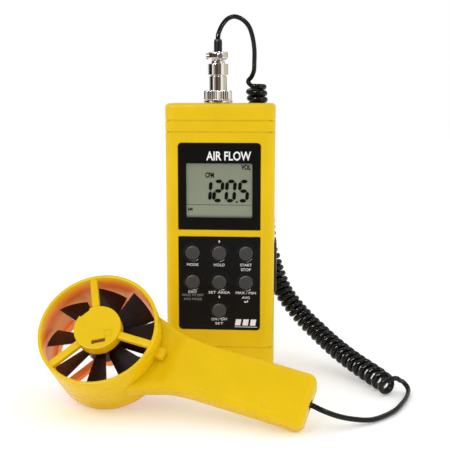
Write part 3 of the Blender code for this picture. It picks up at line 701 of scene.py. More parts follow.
def build_world():
    """White to the camera, a fill light for matt surfaces and a room of bands for glossy ones."""
    world = bpy.data.worlds.new("studio")
    bpy.context.scene.world = world
    world.use_nodes = True
    tree = world.node_tree
    tree.nodes.clear()
    heading = add(tree, "ShaderNodeTexCoord").outputs["Generated"]
    split = add(tree, "ShaderNodeSeparateXYZ")
    tree.links.new(heading, split.inputs["Vector"])
    seen, fill, mirror = background(tree), background(tree), background(tree)
    tree.links.new(fill_strength(tree, split.outputs), fill.inputs["Strength"])
    tree.links.new(mirrored_colour(tree, heading, split.outputs["Z"]), mirror.inputs["Color"])
    tree.links.new(mirrored_strength(tree, split.outputs["Z"]), mirror.inputs["Strength"])
    rays = add(tree, "ShaderNodeLightPath").outputs
    first = chosen(tree, rays["Is Glossy Ray"], fill.outputs["Background"], mirror.outputs["Background"])
    second = chosen(tree, rays["Is Camera Ray"], first, seen.outputs["Background"])
    tree.links.new(second, add(tree, "ShaderNodeOutputWorld").inputs["Surface"])


def build_lights():
    area_light("key", (-0.40, -0.85, 0.95), (0.0, -0.05, 0.08), (0.20, 0.20), 0.9)
    area_light("strip", (-0.46, -0.77, 0.68), (0.0, -0.02, 0.06), (0.70, 0.06), 14.0, 26.0, True)
    area_light("side", (0.80, -0.45, 0.70), (0.0, -0.05, 0.08), (0.06, 0.3), 1.6, 0.0, True)
    area_light("top", (0.1, -0.1, 0.95), (0.0, 0.0, 0.0), (0.10, 0.10), 0.9, 0.0, True)


def spare_handle():
    """The narrow highlight strip leaves out the probe's handle, whose edges stay soft."""
    left_out = bpy.data.collections.new("strip_left_out")
    bpy.data.objects["strip"].light_linking.receiver_collection = left_out
    for name in ("handle_top_shell", "handle_back_shell"):
        left_out.objects.link(bpy.data.objects[name])
    for entry in left_out.collection_objects:
        entry.light_linking.link_state = "EXCLUDE"


def build_floor():
    corners = [(-1.1, -0.5, 0.0), (1.1, -0.5, 0.0), (1.1, 3.0, 0.0), (-1.1, 3.0, 0.0)]
    mesh = bpy.data.meshes.new("floor")
    mesh.from_pydata(corners, [], [(0, 1, 2, 3)])
    floor = link("floor", mesh)
    floor.location.z = -FLOOR_DROP
    mat, tree, shader = new_material("floor_paper", (0.93, 0.93, 0.93), 0.9, specular=0.0)
    paper = tint(tree, noise(tree, 3.0), (0.93, 0.93, 0.93), (0.95, 0.95, 0.95))
    drive(shader, "Base Color", paper)
    shader.inputs["Emission Color"].default_value = (1.0, 1.0, 1.0, 1.0)
    shader.inputs["Emission Strength"].default_value = FLOOR_GLOW
    mesh.materials.append(mat)


def build_studio():
    bpy.context.scene.view_settings.view_transform = "Standard"
    bpy.context.scene.view_settings.look = "None"
    build_world()
    build_lights()
    build_floor()


# ---------------------------------------------------------------- cord

def curve_points(knots):
    """Points on one smooth curve through the knots, in millimetres."""
    ends = [Vector(knots[0]) * 2 - Vector(knots[1]), Vector(knots[-1]) * 2 - Vector(knots[-2])]
    full = [ends[0]] + [Vector(k) for k in knots] + [ends[1]]
    dense = []
    for i in range(1, len(full) - 2):
        low, high = full[i], full[i + 1]
        first = low + (high - full[i - 1]) / 6.0
        second = high - (full[i + 2] - low) / 6.0
        dense += interpolate_bezier(low, first, second, high, CURVE_SPAN)[:-1]
    dense.append(full[-2])
    return dense


def spaced(points, step):
    """The same line with points an even step apart."""
    lengths = [0.0]
    for a, b in zip(points, points[1:]):
        lengths.append(lengths[-1] + (b - a).length)
    count = max(2, round(lengths[-1] / step))
    result, at = [], 0
    for k in range(count + 1):
        goal = lengths[-1] * k / count
        while at < len(points) - 2 and lengths[at + 1] < goal:
            at += 1
        span = max(lengths[at + 1] - lengths[at], 1e-9)
        result.append(points[at].lerp(points[at + 1], min(1.0, (goal - lengths[at]) / span)))
    return result


def length_of(points):
    return sum((b - a).length for a, b in zip(points, points[1:]))


def sweep(name, path, sizes, sides=16):
    """A round tube along a path, of the radius given at each point."""
    side = Vector((0.31, 0.92, 0.24))
    rings = []
    last = len(path) - 1
    for k, point in enumerate(path):
        along = (path[min(k + 1, last)] - path[max(k - 1, 0)]).normalized()
        side = (side - along * side.dot(along)).normalized()
        other = along.cross(side)
        size = sizes[k] * (0.8 if k in (0, last) else 1.0)
        ring = []
        for s in range(sides):
            angle = 2.0 * math.pi * s / sides
            reach = side * math.cos(angle) + other * math.sin(angle)
            ring.append(tuple(point + reach * size))
        rings.append(ring)
    return loft(name, rings)


def coil_path():
    """The wire of the coil: evenly wound as the front shows it, and looser round its first turns."""
    line = spaced(curve_points(COIL), COIL_POINT_STEP)
    count = len(line)
    facing = Vector((0.08, 0.98, -0.15)).normalized()
    shown = [0.0]
    for a, b in zip(line, line[1:]):
        step = b - a
        shown.append(shown[-1] + (step - facing * step.dot(facing)).length)
    turns = round(shown[-1] / COIL_PITCH) + 0.25
    across = Vector((1.0, 0.0, 0.0))
    points = []
    for k, point in enumerate(line):
        along = (line[min(k + 1, count - 1)] - line[max(k - 1, 0)]).normalized()
        across = (across - along * across.dot(along)).normalized()
        other = along.cross(across)
        loose = COIL_LOOSE * max(0.0, 1.0 - 0.25 * k / 22.0)
        reach = min(COIL_R, point.z - 0.1) - COIL_WIRE_R + loose
        angle = math.pi - 2.0 * math.pi * turns * shown[k] / shown[-1]
        shifted = point - Vector((0.0, loose, 0.0))
        points.append(shifted + (across * math.cos(angle) + other * math.sin(angle)) * reach)
    return points


def build_cords():
    coil = coil_path()
    lead = spaced(curve_points(LEAD + tuple(tuple(p) for p in (coil[3], coil[5]))), LEAD_POINT_STEP)
    tail = curve_points((tuple(coil[-4]), tuple(coil[-1])) + TAIL)[CURVE_SPAN:]
    wire = spaced(coil[3:] + tail, WIRE_POINT_STEP)
    wound = length_of(coil) / WIRE_POINT_STEP
    sizes = []
    for k in range(len(wire)):
        share = max(0.0, min(1.0, k / WIRE_TAPER_POINTS, (wound - k) / WIRE_TAPER_POINTS))
        sizes.append(CORD_R + (COIL_WIRE_R - CORD_R) * share)
    piece = sweep("probe_cord_lead", lead, [CORD_R] * len(lead))
    place(piece, "cord", None, "cord_lead", weighted=False)
    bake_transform(piece)
    piece = sweep("probe_cord_coil", wire, sizes, 12)
    place(piece, "cord", None, "cord_coil", "cord_tail", weighted=False)
    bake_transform(piece)


# ---------------------------------------------------------------- meter

def fillet_levels(size, steps=5):
    """(height, inset) pairs of a rounded lower edge."""
    levels = []
    for k in range(steps + 1):
        turn = math.radians(90.0 * k / steps)
        levels.append((size * (1.0 - math.sin(turn)), size * (1.0 - math.cos(turn))))
    return levels[::-1]


def case_block(name):
    """The whole case as one rounded block with its grooves, before it is hollowed and split."""
    levels = fillet_levels(2.5)
    for z in GROOVE_Z:
        levels += [(z + away, inset) for away, inset in GROOVE_PROFILE]
    levels += [(CASE_H - z, inset) for z, inset in reversed(fillet_levels(2.5))]
    rings = []
    for z, inset in levels:
        outline = rounded(CASE_HALF_W - inset, CASE_HALF_D - inset, CASE_CORNER - inset, 10)
        rings.append([(a, b, z) for a, b in outline])
    return loft(name, rings)


def key_places():
    """Each key's CAD node and its place on the front."""
    names = ("key_mode", "key_hold", "key_start_stop", "key_exit", "key_area", "key_max_min")
    places = []
    for index, name in enumerate(names):
        places.append((name, (index % 3 - 1) * KEY_PITCH, KEY_ROWS_Z[index // 3]))
    places.append(("key_power", 0.0, KEY_ROWS_Z[2]))
    return places


def case_screw_places():
    return [(x, z) for x in (-30.0, 30.0) for z in (10.0, 171.0)]


def recess(name, z_range, upper, lower):
    """Cutter for a panel's seat, flared where it meets the case's front."""
    centre, half_h = upright_span(z_range)
    levels = ((-17.0, -1.25), (-15.75, 0.0), (PANEL_SEAT_Y, 0.0))
    return plate(name, BEZEL_HALF_W + SEAT_ROOM, half_h + SEAT_ROOM, upper, centre, levels, "Y", 6, lower)


def side_tools():
    seat = prism("s1", rounded(6.8, 17.3, 1.0, 3, JACK_STRIP_CENTRE), 34.8, 40.0, "X")
    return [seat] + [rod("s2", 4.2, 30.0, 37.0, jack, "X", 32) for jack in (POWER_JACK, DATA_JACK)]


def build_front_case():
    places = case_screw_places()
    front = case_block("case_front_shell")
    cut(front, box("c1", (-60.0, SPLIT_Y - GAP / 2, -5.0), (60.0, 60.0, 190.0)),
        box("c2", (-WALL_SIDE_X, WALL_FRONT_Y, FLOOR_Z), (WALL_SIDE_X, 30.0, ROOF_Z)),
        recess("c3", BEZEL_Z, 2.6, 0.7), recess("c4", OVERLAY_Z, 0.7, 2.6),
        box("c5", (-22.5, -18.0, 104.0), (22.5, -12.0, 143.0)))
    cut(front, *[rod("c6", KEY_HOLE_R, -18.0, -12.0, (x, z), "Y", 40) for _, x, z in key_places()])
    fuse(front, *[rod("b1", 3.2, WALL_FRONT_Y - 0.6, SPLIT_Y - GAP / 2, spot, "Y", 24) for spot in places])
    cut(front, *[rod("c7", 1.5, -10.0, 5.0, spot, "Y", 16) for spot in places], *side_tools(),
        rod("c8", 7.6, 170.0, 190.0, PLUG_CENTRE))
    place(front, "case", "meter", "front_case")


def build_rear_case():
    places = case_screw_places()
    rear = case_block("case_rear_shell")
    cut(rear, box("c1", (-60.0, -60.0, -5.0), (60.0, SPLIT_Y + GAP / 2, 190.0)),
        box("c2", (-WALL_SIDE_X, -30.0, FLOOR_Z), (WALL_SIDE_X, WALL_BACK_Y, ROOF_Z)))
    bosses = [rod("b2", 3.4, SPLIT_Y + GAP / 2, WALL_BACK_Y + 0.6, spot, "Y", 24) for spot in places]
    fuse(rear, *bosses, rod("b3", 2.6, 5.0, WALL_BACK_Y + 0.4, BATTERY_SCREW, "Y", 24))
    cut(rear, *[rod("c3", 3.0, 12.5, 20.0, spot, "Y") for spot in places],
        *[rod("c4", 1.5, -1.0, 15.0, spot, "Y", 16) for spot in places],
        plate("c5", 21.3, 32.0, 1.4, BATTERY_DOOR_CENTRE, ((13.7, 0.0), (15.75, 0.0), (17.0, -1.25)), "Y", 4),
        box("c6", (-18.0, 8.0, 15.0), (18.0, 15.0, 69.0)),
        rod("c7", 1.4, 4.0, 15.0, BATTERY_SCREW, "Y", 16), *side_tools(),
        rod("c8", 7.6, 170.0, 190.0, PLUG_CENTRE))
    cut(rear, box("c9", (-STAND_HALF_W - 0.4, 14.0, 87.6), (STAND_HALF_W + 0.4, 20.0, 139.6)),
        box("c10", (-STAND_HALF_W - 0.4, 10.0, 138.6), (STAND_HALF_W + 0.4, 20.0, 143.4)),
        rod("c11", STAND_PIN_R, -18.6, 18.6, STAND_PIN, "X", 24),
        box("c12", (-6.0, 14.6, 82.0), (6.0, 20.0, 90.0)))
    place(rear, "case", "meter", "rear_case")


def near_key(point):
    return any(math.hypot(point.x - x, point.z - z) < KEY_DISH_R for _, x, z in key_places())


def upright_span(z_range):
    """Centre on the front and half height of a panel between two heights."""
    return (0.0, sum(z_range) / 2), (z_range[1] - z_range[0]) / 2


def build_display():
    """Display surround, clear window and liquid-crystal panel."""
    centre, half_h = upright_span(BEZEL_Z)
    levels = soft_edge(PANEL_BACK_Y, PANEL_FRONT_Y, PANEL_EDGE)
    bezel = plate("display_frame", BEZEL_HALF_W, half_h, 2.4, centre, levels, "Y", 8, 0.5)
    middle, height = upright_span(WINDOW_Z)
    cut(bezel, plate("c1", WINDOW_HALF_W, height, 1.0, middle,
                     ((-17.0, -1.2), (-15.8, 0.0), (-10.0, 0.0)), "Y", 5))
    place(bezel, "bezel", "meter", "display_bezel")
    pane = plate("window_sheet", WINDOW_HALF_W - GAP, height - GAP, 0.8, middle,
                 soft_edge(PANEL_BACK_Y, -15.8, 0.15), "Y")
    place(pane, "pane", "meter", "display_window")
    glass = plate("display_sheet", 22.1, 19.1, 0.3, (0.0, 123.5), soft_edge(-12.9, GLASS_Y, 0.2), "Y", 3)
    place(glass, "lcd", "meter", "lcd_glass")


def build_keypad():
    """Black overlay with a glossy dish round each key's hole."""
    centre, half_h = upright_span(OVERLAY_Z)
    levels = soft_edge(PANEL_BACK_Y, PANEL_FRONT_Y, PANEL_EDGE)
    overlay = plate("keypad_sheet", BEZEL_HALF_W, half_h, 0.5, centre, levels, "Y", 8, 2.4)
    hole = ((0, -18.0), (6.0, -18.0), (5.9, -16.0), (5.75, -15.95), (KEY_HOLE_R + 0.05, -15.6),
            (KEY_HOLE_R, -15.45), (KEY_HOLE_R, -12.0), (0, -12.0))
    cut(overlay, *[lathe("c1", hole, (x, z), "Y", 48) for _, x, z in key_places()])
    place(overlay, "panel", "meter", "keypad_overlay")
    overlay.data.materials.append(M["rim"])
    for face in overlay.data.polygons:
        in_dish = DISH_Y[0] < face.center.y / MM < DISH_Y[1] and near_key(face.center / MM)
        if in_dish and abs(face.normal.y) > DISH_LEAST_FACING:
            face.material_index = 1


def build_keys():
    dome = [(0.0, -17.5)]
    for k in range(1, 7):
        dome.append((3.9 * k / 6.0, -17.5 + 0.22 * (k / 6.0) ** 2))
    dome += [(4.35, -17.12), (4.68, -16.8), (KEY_R, -16.4), (KEY_R, -13.4), (5.9, -13.4), (5.9, -12.5),
             (0, -12.5)]
    for name, x, z in key_places():
        key = lathe(name.replace("key_", "button_"), dome, (x, z), "Y", 48)
        place(key, "key", name + "_cap", name, sharp=50.0)


# ---------------------------------------------------------------- print and display marks

def flat_shape(name, outlines, back, front):
    """Thin upright solids over outlines given as (x, z), joined in one piece."""
    points, faces = [], []
    for outline in outlines:
        count, low = len(outline), len(points)
        for y in (back, front):
            points += [(a, y, b) for a, b in outline]
        faces.append(tuple(range(low, low + count)))
        faces.append(tuple(range(low + 2 * count - 1, low + count - 1, -1)))
        for i in range(count):
            j = (i + 1) % count
            faces.append((low + i, low + count + i, low + count + j, low + j))
    return solid(name, points, faces)


def slanted(points, middle, slope):
    return [(a + (b - middle) * slope, b) for a, b in points]


SEGMENTS = {"0": "abcdef", "1": "bc", "2": "abged", "5": "afgcd"}


def digit(symbol, centre_x, low, high, half_w, stroke, slope):
    """Seven-segment digit as slanted six-cornered bars."""
    h = stroke / 2
    mid = (low + high) / 2
    gap = stroke * 0.1
    left, right, floor, top = -half_w + h, half_w - h, low + h, high - h
    ends = {
        "a": ((left, top), (right, top)), "g": ((left, mid), (right, mid)),
        "d": ((left, floor), (right, floor)), "f": ((left, mid), (left, top)),
        "b": ((right, mid), (right, top)), "e": ((left, floor), (left, mid)),
        "c": ((right, floor), (right, mid)),
    }
    shapes = []
    for name in SEGMENTS[symbol]:
        start, end = Vector(ends[name][0]), Vector(ends[name][1])
        along = (end - start).normalized()
        side = Vector((-along.y, along.x))
        start, end = start + along * gap, end - along * gap
        corners = (start, start + along * h + side * h, end - along * h + side * h, end,
                   end - along * h - side * h, start + along * h - side * h)
        shapes.append(slanted([(centre_x + p.x, p.y) for p in corners], mid, slope))
    return shapes


def rectangle(a, b, width, height):
    return [(a - width / 2, b - height / 2), (a + width / 2, b - height / 2),
            (a + width / 2, b + height / 2), (a - width / 2, b + height / 2)]


def lettering(name, words, look, front, bold=0.0):
    """Raised lettering: (text, centre x, centre z, height, width) each, on the upright front."""
    meshes = []
    for text, x, z, height, width in words:
        curve = bpy.data.curves.new(name, "FONT")
        curve.body = text
        curve.align_x = "CENTER"
        curve.align_y = "CENTER"
        curve.size = height * 1.37 * MM
        curve.offset = bold * MM
        curve.extrude = PRINT_DEPTH / 2 * MM
        curve.resolution_u = 3
        item = link(name, curve)
        bpy.context.view_layer.update()
        mesh = bpy.data.meshes.new_from_object(item.evaluated_get(bpy.context.evaluated_depsgraph_get()))
        bpy.data.objects.remove(item, do_unlink=True)
        reach = [v.co.x for v in mesh.vertices]
        squeeze = width * MM / max(1e-6, max(reach) - min(reach))
        middle = (max(reach) + min(reach)) / 2
        mesh.transform(Matrix.Diagonal((squeeze, 1.0, 1.0, 1.0)) @ Matrix.Translation((-middle, 0.0, 0.0)))
        mesh.transform(Matrix.Rotation(math.radians(90.0), 4, "X"))
        mesh.transform(Matrix.Translation(Vector((x, front - PRINT_DEPTH / 2 + PRINT_LIFT, z)) * MM))
        meshes.append(mesh)
    work = bmesh.new()
    for mesh in meshes:
        work.from_mesh(mesh)
    bmesh.ops.remove_doubles(work, verts=work.verts, dist=0.0000005)
    joined = bpy.data.meshes.new(name)
    work.to_mesh(joined)
    work.free()
    print_on(link(name, joined), look)


def print_on(item, look):
    """Paints a printed mark and sets it on the meter."""
    paint(item, look)
    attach(item, "meter")


def mark(name, outlines, look, front, depth=PRINT_DEPTH):
    """Raised flat shapes on the upright front."""
    print_on(flat_shape(name, outlines, front + PRINT_LIFT, front - depth + PRINT_LIFT), look)


def arrow(x, z, size, up):
    """Short arrow head on a stem."""
    s = 1.0 if up else -1.0
    return [(x, z + s * size), (x - size * 0.8, z), (x - size * 0.25, z), (x - size * 0.25, z - s * size),
            (x + size * 0.25, z - s * size), (x + size * 0.25, z), (x + size * 0.8, z)]


def build_display_marks():
    """Dark segments and words of the display."""
    shapes = []
    for symbol, x in (("1", -8.5), ("2", -0.7), ("0", 7.4), ("5", 15.9)):
        shapes += digit(symbol, x, 115.6, 130.6, 3.75, 2.35, 0.07)
    shapes.append(rectangle(11.5, 116.0, 1.1, 1.2))
    mark("display_digits", shapes, "ink", GLASS_Y, 0.08)
    mark("display_rule", [rectangle(0.0, 113.9, 43.0, 0.28)], "ink", GLASS_Y, 0.06)
    words = (("CFM", -6.4, 133.3, 3.3, 5.8), ("VOL", 17.4, 138.6, 3.4, 6.3), ("LM", -19.2, 110.9, 1.6, 3.0))
    lettering("display_words", words, "ink", GLASS_Y, bold=0.2)


def build_print():
    """White print on the display surround and beside the keys."""
    words = (("AIR FLOW", 6.2, 145.8, 5.9, 29.3),)
    lettering("header_print", words, "print", PANEL_FRONT_Y, bold=0.16)
    words = (("MODE", -KEY_PITCH, 73.9, 1.9, 7.6), ("HOLD", 0.0, 73.9, 1.9, 7.2),
             ("START", KEY_PITCH, 74.0, 1.9, 7.8), ("STOP", KEY_PITCH, 70.9, 1.9, 6.6),
             ("EXIT", -KEY_PITCH, 55.4, 1.8, 5.8), ("SET AREA", 0.0, 55.3, 1.8, 14.4),
             ("MAX / MIN", KEY_PITCH, 55.2, 1.8, 13.4), ("AVG", KEY_PITCH, 52.0, 1.7, 5.2),
             ("ON / OFF", 0.0, 37.0, 1.8, 10.6), ("SET", 0.0, 34.2, 1.7, 5.4))
    lettering("key_print", words, "print", PANEL_FRONT_Y)
    words = (("HOLD TO EXIT", -KEY_PITCH, 53.3, 1.6, 14.6), ("AVG MODE", -KEY_PITCH, 50.5, 1.6, 12.4))
    lettering("key_print_dim", words, "dim_print", PANEL_FRONT_Y)
    bars = [arrow(0.0, 89.6, 0.95, True), arrow(0.0, 52.4, 0.95, False),
            [(16.4, 49.2), (17.4, 50.0), (17.4, 49.45), (18.7, 49.45), (18.7, 50.6), (19.1, 50.6),
             (19.1, 48.95), (17.4, 48.95), (17.4, 48.4)]]
    bars += [slanted(rectangle(x, 35.2, 3.6, 4.2), 35.2, 0.18) for x in (12.6, 17.6, 22.6)]
    bars.append(rectangle(17.8, 32.1, 15.0, 0.35))
    mark("panel_print", bars, "print", PANEL_FRONT_Y)


# ---------------------------------------------------------------- meter's other pieces

def screw(name, spot, tip, under_head, top, shank, head, node, body):
    profile = eased(((0, tip), (shank, tip + 0.8), (shank, under_head), (head, under_head), (head, top - 0.3),
                     (head - 0.3, top), (0, top)), 0.15)
    item = lathe(name, profile, spot, "Y", 32)
    cut(item, box("slot", (spot[0] - head - 1, top - 0.6, spot[1] - 0.35),
                  (spot[0] + head + 1, top + 1, spot[1] + 0.35)))
    place(item, "steel", body, node)


def build_battery_cover():
    levels = soft_edge(14.0, CASE_HALF_D, 0.5)
    cover = plate("battery_door", 21.0, 31.7, 1.2, BATTERY_DOOR_CENTRE, levels, "Y", 5)
    cut(cover, rod("c1", 2.5, 14.6, 17.0, BATTERY_SCREW, "Y"),
        rod("c2", 1.4, 13.0, 17.0, BATTERY_SCREW, "Y", 16),
        *[box("c3", (-8.0, 15.55, z - 0.5), (8.0, 17.0, z + 0.5)) for z in (58.0, 60.4, 62.8, 65.2)])
    place(cover, "case", "battery_hatch", "battery_cover")
    screw("battery_door_screw", BATTERY_SCREW, 8.0, 14.9, 15.9, 1.1, 2.2, "battery_cover_screw",
          "battery_hatch")


def build_case_screws():
    for index, spot in enumerate(case_screw_places()):
        number = index + 1
        screw("shell_screw_%d" % number, spot, -8.0, 12.8, 14.6, 1.2, 2.6, "case_screw_%d" % number,
              "meter")


def build_stand():
    leg = rod("stand_leg", 1.9, -STAND_HALF_W, STAND_HALF_W, STAND_PIN, "X", 48)
    fuse(leg, plate("p1", STAND_HALF_W, 26.4, 2.0, (0.0, 114.4), soft_edge(14.35, 16.0, 0.4), "Y", 6))
    cut(leg, rod("c1", STAND_PIN_R, -20.0, 20.0, STAND_PIN, "X", 32),
        plate("c2", 11.0, 15.0, 1.5, (0.0, 112.0), ((15.6, 0.0), (17.0, -0.6)), "Y", 6))
    place(leg, "case", "stand", "tilt_stand")


def build_side():
    strip = plate("jack_strip", 6.5, 17.0, 1.0, JACK_STRIP_CENTRE, soft_edge(35.1, 37.4, 0.4), "X", 5)
    cut(strip, rod("c1", 3.4, 34.0, 40.0, DATA_JACK, "X"), rod("c2", 3.9, 34.0, 40.0, POWER_JACK, "X"))
    place(strip, "strip", "meter", "side_jack_strip")
    data = eased(((0, 24.0), (3.1, 24.0), (3.1, 37.2), (1.75, 37.2), (1.75, 27.0), (0, 27.0)), 0.25)
    place(lathe("data_port", data, DATA_JACK, "X", 48), "strip", "meter", "data_jack")
    power = eased(((0, 23.0), (3.6, 23.0), (3.6, 37.2), (2.75, 37.2), (2.75, 27.0), (0.7, 27.0), (0.7, 36.0),
                   (0, 36.4)), 0.25)
    place(lathe("power_port", power, POWER_JACK, "X", 48), "strip", "meter", "power_jack")


def knurled(name, radius, low, high, teeth):
    """A short cylinder with fine rounded ribs round its outside and eased rims."""
    rings = []
    steps = teeth * 6
    for z, drop in ((low, 0.55), (low + 0.25, 0.2), (low + 0.6, 0.0), (high - 0.6, 0.0), (high - 0.25, 0.2),
                    (high, 0.55)):
        ring = []
        for k in range(steps):
            angle = 2.0 * math.pi * k / steps
            rib = 0.225 * (1.0 + math.cos(angle * teeth))
            size = radius - drop - 0.45 + rib if drop < 0.4 else radius - drop - 0.1
            ring.append((PLUG_X + size * math.cos(angle), size * math.sin(angle), z))
        rings.append(ring)
    return loft(name, rings)


def clamp_screw(name, spot, axis, tip, seat, top, node):
    profile = ((0, tip), (0.65, tip), (0.65, seat), (2.2, seat), (2.2, top + 0.3), (1.8, top), (0, top))
    item = lathe(name, eased(profile, 0.15), spot, axis, 32)
    arms = []
    for long, short in ((1.5, 0.3), (0.3, 1.5)):
        half = ((-long, -short), (long, -short), (long, short), (-long, short))
        arms.append(prism("arm", [(spot[0] + a, spot[1] + b) for a, b in half], top - 1.0, top + 0.6, axis))
    cut(item, *arms)
    place(item, "steel", "plug", node)


def build_socket():
    socket = ((6.3, 168.0), (7.2, 168.0), (7.2, 180.3), (9.6, 180.3), (9.6, 181.9), (7.2, 181.9),
              (7.2, 185.5), (6.3, 185.5))
    item = lathe("socket_flange", eased(socket, 0.3), PLUG_CENTRE, segments=96)
    place(item, "nickel", "meter", "probe_socket")


def build_plug_body():
    body = ((5.2, 177.0), (5.9, 177.0), (5.9, 185.8), (7.0, 185.8), (7.0, 186.8), (5.85, 186.8),
            (5.85, 197.5), (5.2, 197.5), (5.2, 198.4), (6.7, 198.4), (6.7, 205.7), (4.5, 205.7),
            (4.5, 207.7), (3.2, 207.7), (3.2, 202.0), (4.6, 202.0), (4.6, 185.5), (5.2, 185.5))
    item = lathe("plug_barrel", eased(body, 0.35), PLUG_CENTRE, segments=96)
    place(item, "nickel", "plug", "plug_body")


def build_coupling_ring():
    ring = knurled("plug_ring", 9.25, 182.2, 188.3, 36)
    cut(ring, rod("c5", 7.55, 180.0, 187.1, PLUG_CENTRE, segments=64),
        lathe("c6", ((0, 185.0), (6.2, 185.0), (6.2, 187.9), (7.6, 189.3), (0, 189.3)), PLUG_CENTRE))
    place(ring, "nickel", "ring", "coupling_ring", sharp=40.0)


def build_clamp():
    """Cable clamp with its two screws."""
    clamp = ((3.2, 208.0), (5.2, 208.0), (6.6, 209.3), (6.6, 212.7), (6.1, 213.4), (3.2, 213.4))
    item = lathe("plug_clamp", eased(clamp, 0.5, 4), PLUG_CENTRE, segments=80)
    cut(item, rod("c1", 2.5, -12.0, -6.2, (0.0, CLAMP_BOLT_Z), "Y"),
        rod("c2", 2.5, -14.0, -8.2, (0.0, CLAMP_BOLT_Z), "X"),
        rod("c3", 0.95, -12.0, -4.4, (0.0, CLAMP_BOLT_Z), "Y", 24),
        rod("c4", 0.95, -14.0, -6.4, (0.0, CLAMP_BOLT_Z), "X", 24),
        box("c5", (PLUG_X - 4.4, -9.0, 209.6), (PLUG_X - 1.2, -4.9, 212.2)))
    place(item, "nickel", "plug", "cable_clamp")
    clamp_screw("clamp_bolt_front", (0.0, CLAMP_BOLT_Z), "Y", -5.0, -6.5, -7.8, "clamp_screw_front")
    clamp_screw("clamp_bolt_side", (0.0, CLAMP_BOLT_Z), "X", -7.0, -8.5, -9.8, "clamp_screw_side")


def build_sleeve():
    sleeve = ((1.95, 203.0), (2.7, 203.0), (2.7, 220.2), (2.3, 221.6), (1.95, 221.6))
    item = lathe("cord_boot", eased(sleeve, 0.2), PLUG_CENTRE, segments=40)
    place(item, "sleeve", "plug", "cord_sleeve")


# ---------------------------------------------------------------- probe

def probe_matrix():
    along = Vector(PROBE_U).normalized()
    out = Vector(PROBE_N)
    out = (out - along * out.dot(along)).normalized()
    across = out.cross(along)
    turn = Matrix((along, across, out)).transposed().to_4x4()
    return Matrix.Translation(Vector(PROBE_CENTRE) * MM) @ turn


def place_probe(item, look, body, *nodes, sharp=32.0):
    """A piece made in the probe's frame, set where the probe lies."""
    item.data.transform(probe_matrix())
    return place(item, look, body, *nodes, sharp=sharp)


def turned(corners, degrees, centre=(0.0, 0.0)):
    """An outline turned by an angle and moved to a centre."""
    c, s = math.cos(math.radians(degrees)), math.sin(math.radians(degrees))
    return [(centre[0] + c * a - s * b, centre[1] + s * a + c * b) for a, b in corners]


def spokes(name, start, end, low, high):
    """Spokes with rounded edges, from one radius to another."""
    section = rounded(SPOKE_HALF_W, (high - low) / 2, SPOKE_CORNER, 5, (0.0, (low + high) / 2))
    items = []
    for angle in SPOKE_ANGLES:
        item = prism(name, section, start, end, "X")
        item.data.transform(Matrix.Rotation(math.radians(angle), 4, "Z"))
        items.append(item)
    return items


def handle_half_width(u):
    knots = ((20.0, 27.4), (25.9, 24.9), (32.5, 22.6), (40.9, 19.8), (48.3, 17.6), (59.2, 16.3),
             (72.0, HANDLE_HALF_W))
    if u >= knots[-1][0]:
        return HANDLE_HALF_W
    for i in range(len(knots) - 1):
        (a, wa), (b, wb) = knots[i], knots[i + 1]
        if u <= b:
            before = knots[max(i - 1, 0)]
            after = knots[min(i + 2, len(knots) - 1)]
            slope_a = (wb - before[1]) / max(b - before[0], 1e-6)
            slope_b = (after[1] - wa) / max(after[0] - a, 1e-6)
            t = (u - a) / (b - a)
            span = b - a
            return (wa * (2 * t ** 3 - 3 * t ** 2 + 1) + slope_a * span * (t ** 3 - 2 * t ** 2 + t)
                    + wb * (-2 * t ** 3 + 3 * t ** 2) + slope_b * span * (t ** 3 - t ** 2))
    return HANDLE_HALF_W


def handle_outline(inset, ring_radius):
    """The handle's outline pulled in by the inset, as columns of points from its upper to its lower side."""
    angle = 60.0
    while handle_half_width(ring_radius * math.cos(math.radians(angle))) - inset < \
            ring_radius * math.sin(math.radians(angle)) and angle > 5.0:
        angle -= 0.1
    start_u = ring_radius * math.cos(math.radians(angle))
    end, corner = HANDLE_END - inset, 5.0
    width = HANDLE_HALF_W - inset
    side = []
    for k in range(HANDLE_STEPS + 1):
        u = start_u + (end - corner - start_u) * (k / HANDLE_STEPS) ** 1.4
        side.append((u, handle_half_width(u) - inset))
    for k in range(1, 11):
        turn = math.radians(90.0 - 9.0 * k)
        side.append((end - corner + corner * math.cos(turn), width - corner + corner * math.sin(turn)))
    columns = []
    for u, v in side:
        fade = max(0.0, 1.0 - (u - start_u) / 26.0) ** 1.5
        column = []
        for j in range(HANDLE_ROWS + 1):
            turn = math.radians(angle - 2.0 * angle * j / HANDLE_ROWS)
            share = math.sin(turn) / math.sin(math.radians(angle))
            column.append((u + (ring_radius * math.cos(turn) - start_u) * fade, v * share))
        columns.append(column)
    return columns


def handle_sink(u):
    """How far the handle's face drops towards the vane ring."""
    t = min(1.0, max(0.0, (50.0 - u) / 9.0))
    return 1.7 * t * t * (3.0 - 2.0 * t)


def ring_radius_at(n):
    """Outside radius of the vane ring at a height of the probe's frame."""
    return RING_R - (RING_R - RING_BACK_R) * max(0.0, -8.0 - n) / (RING_DEPTH - 8.6)


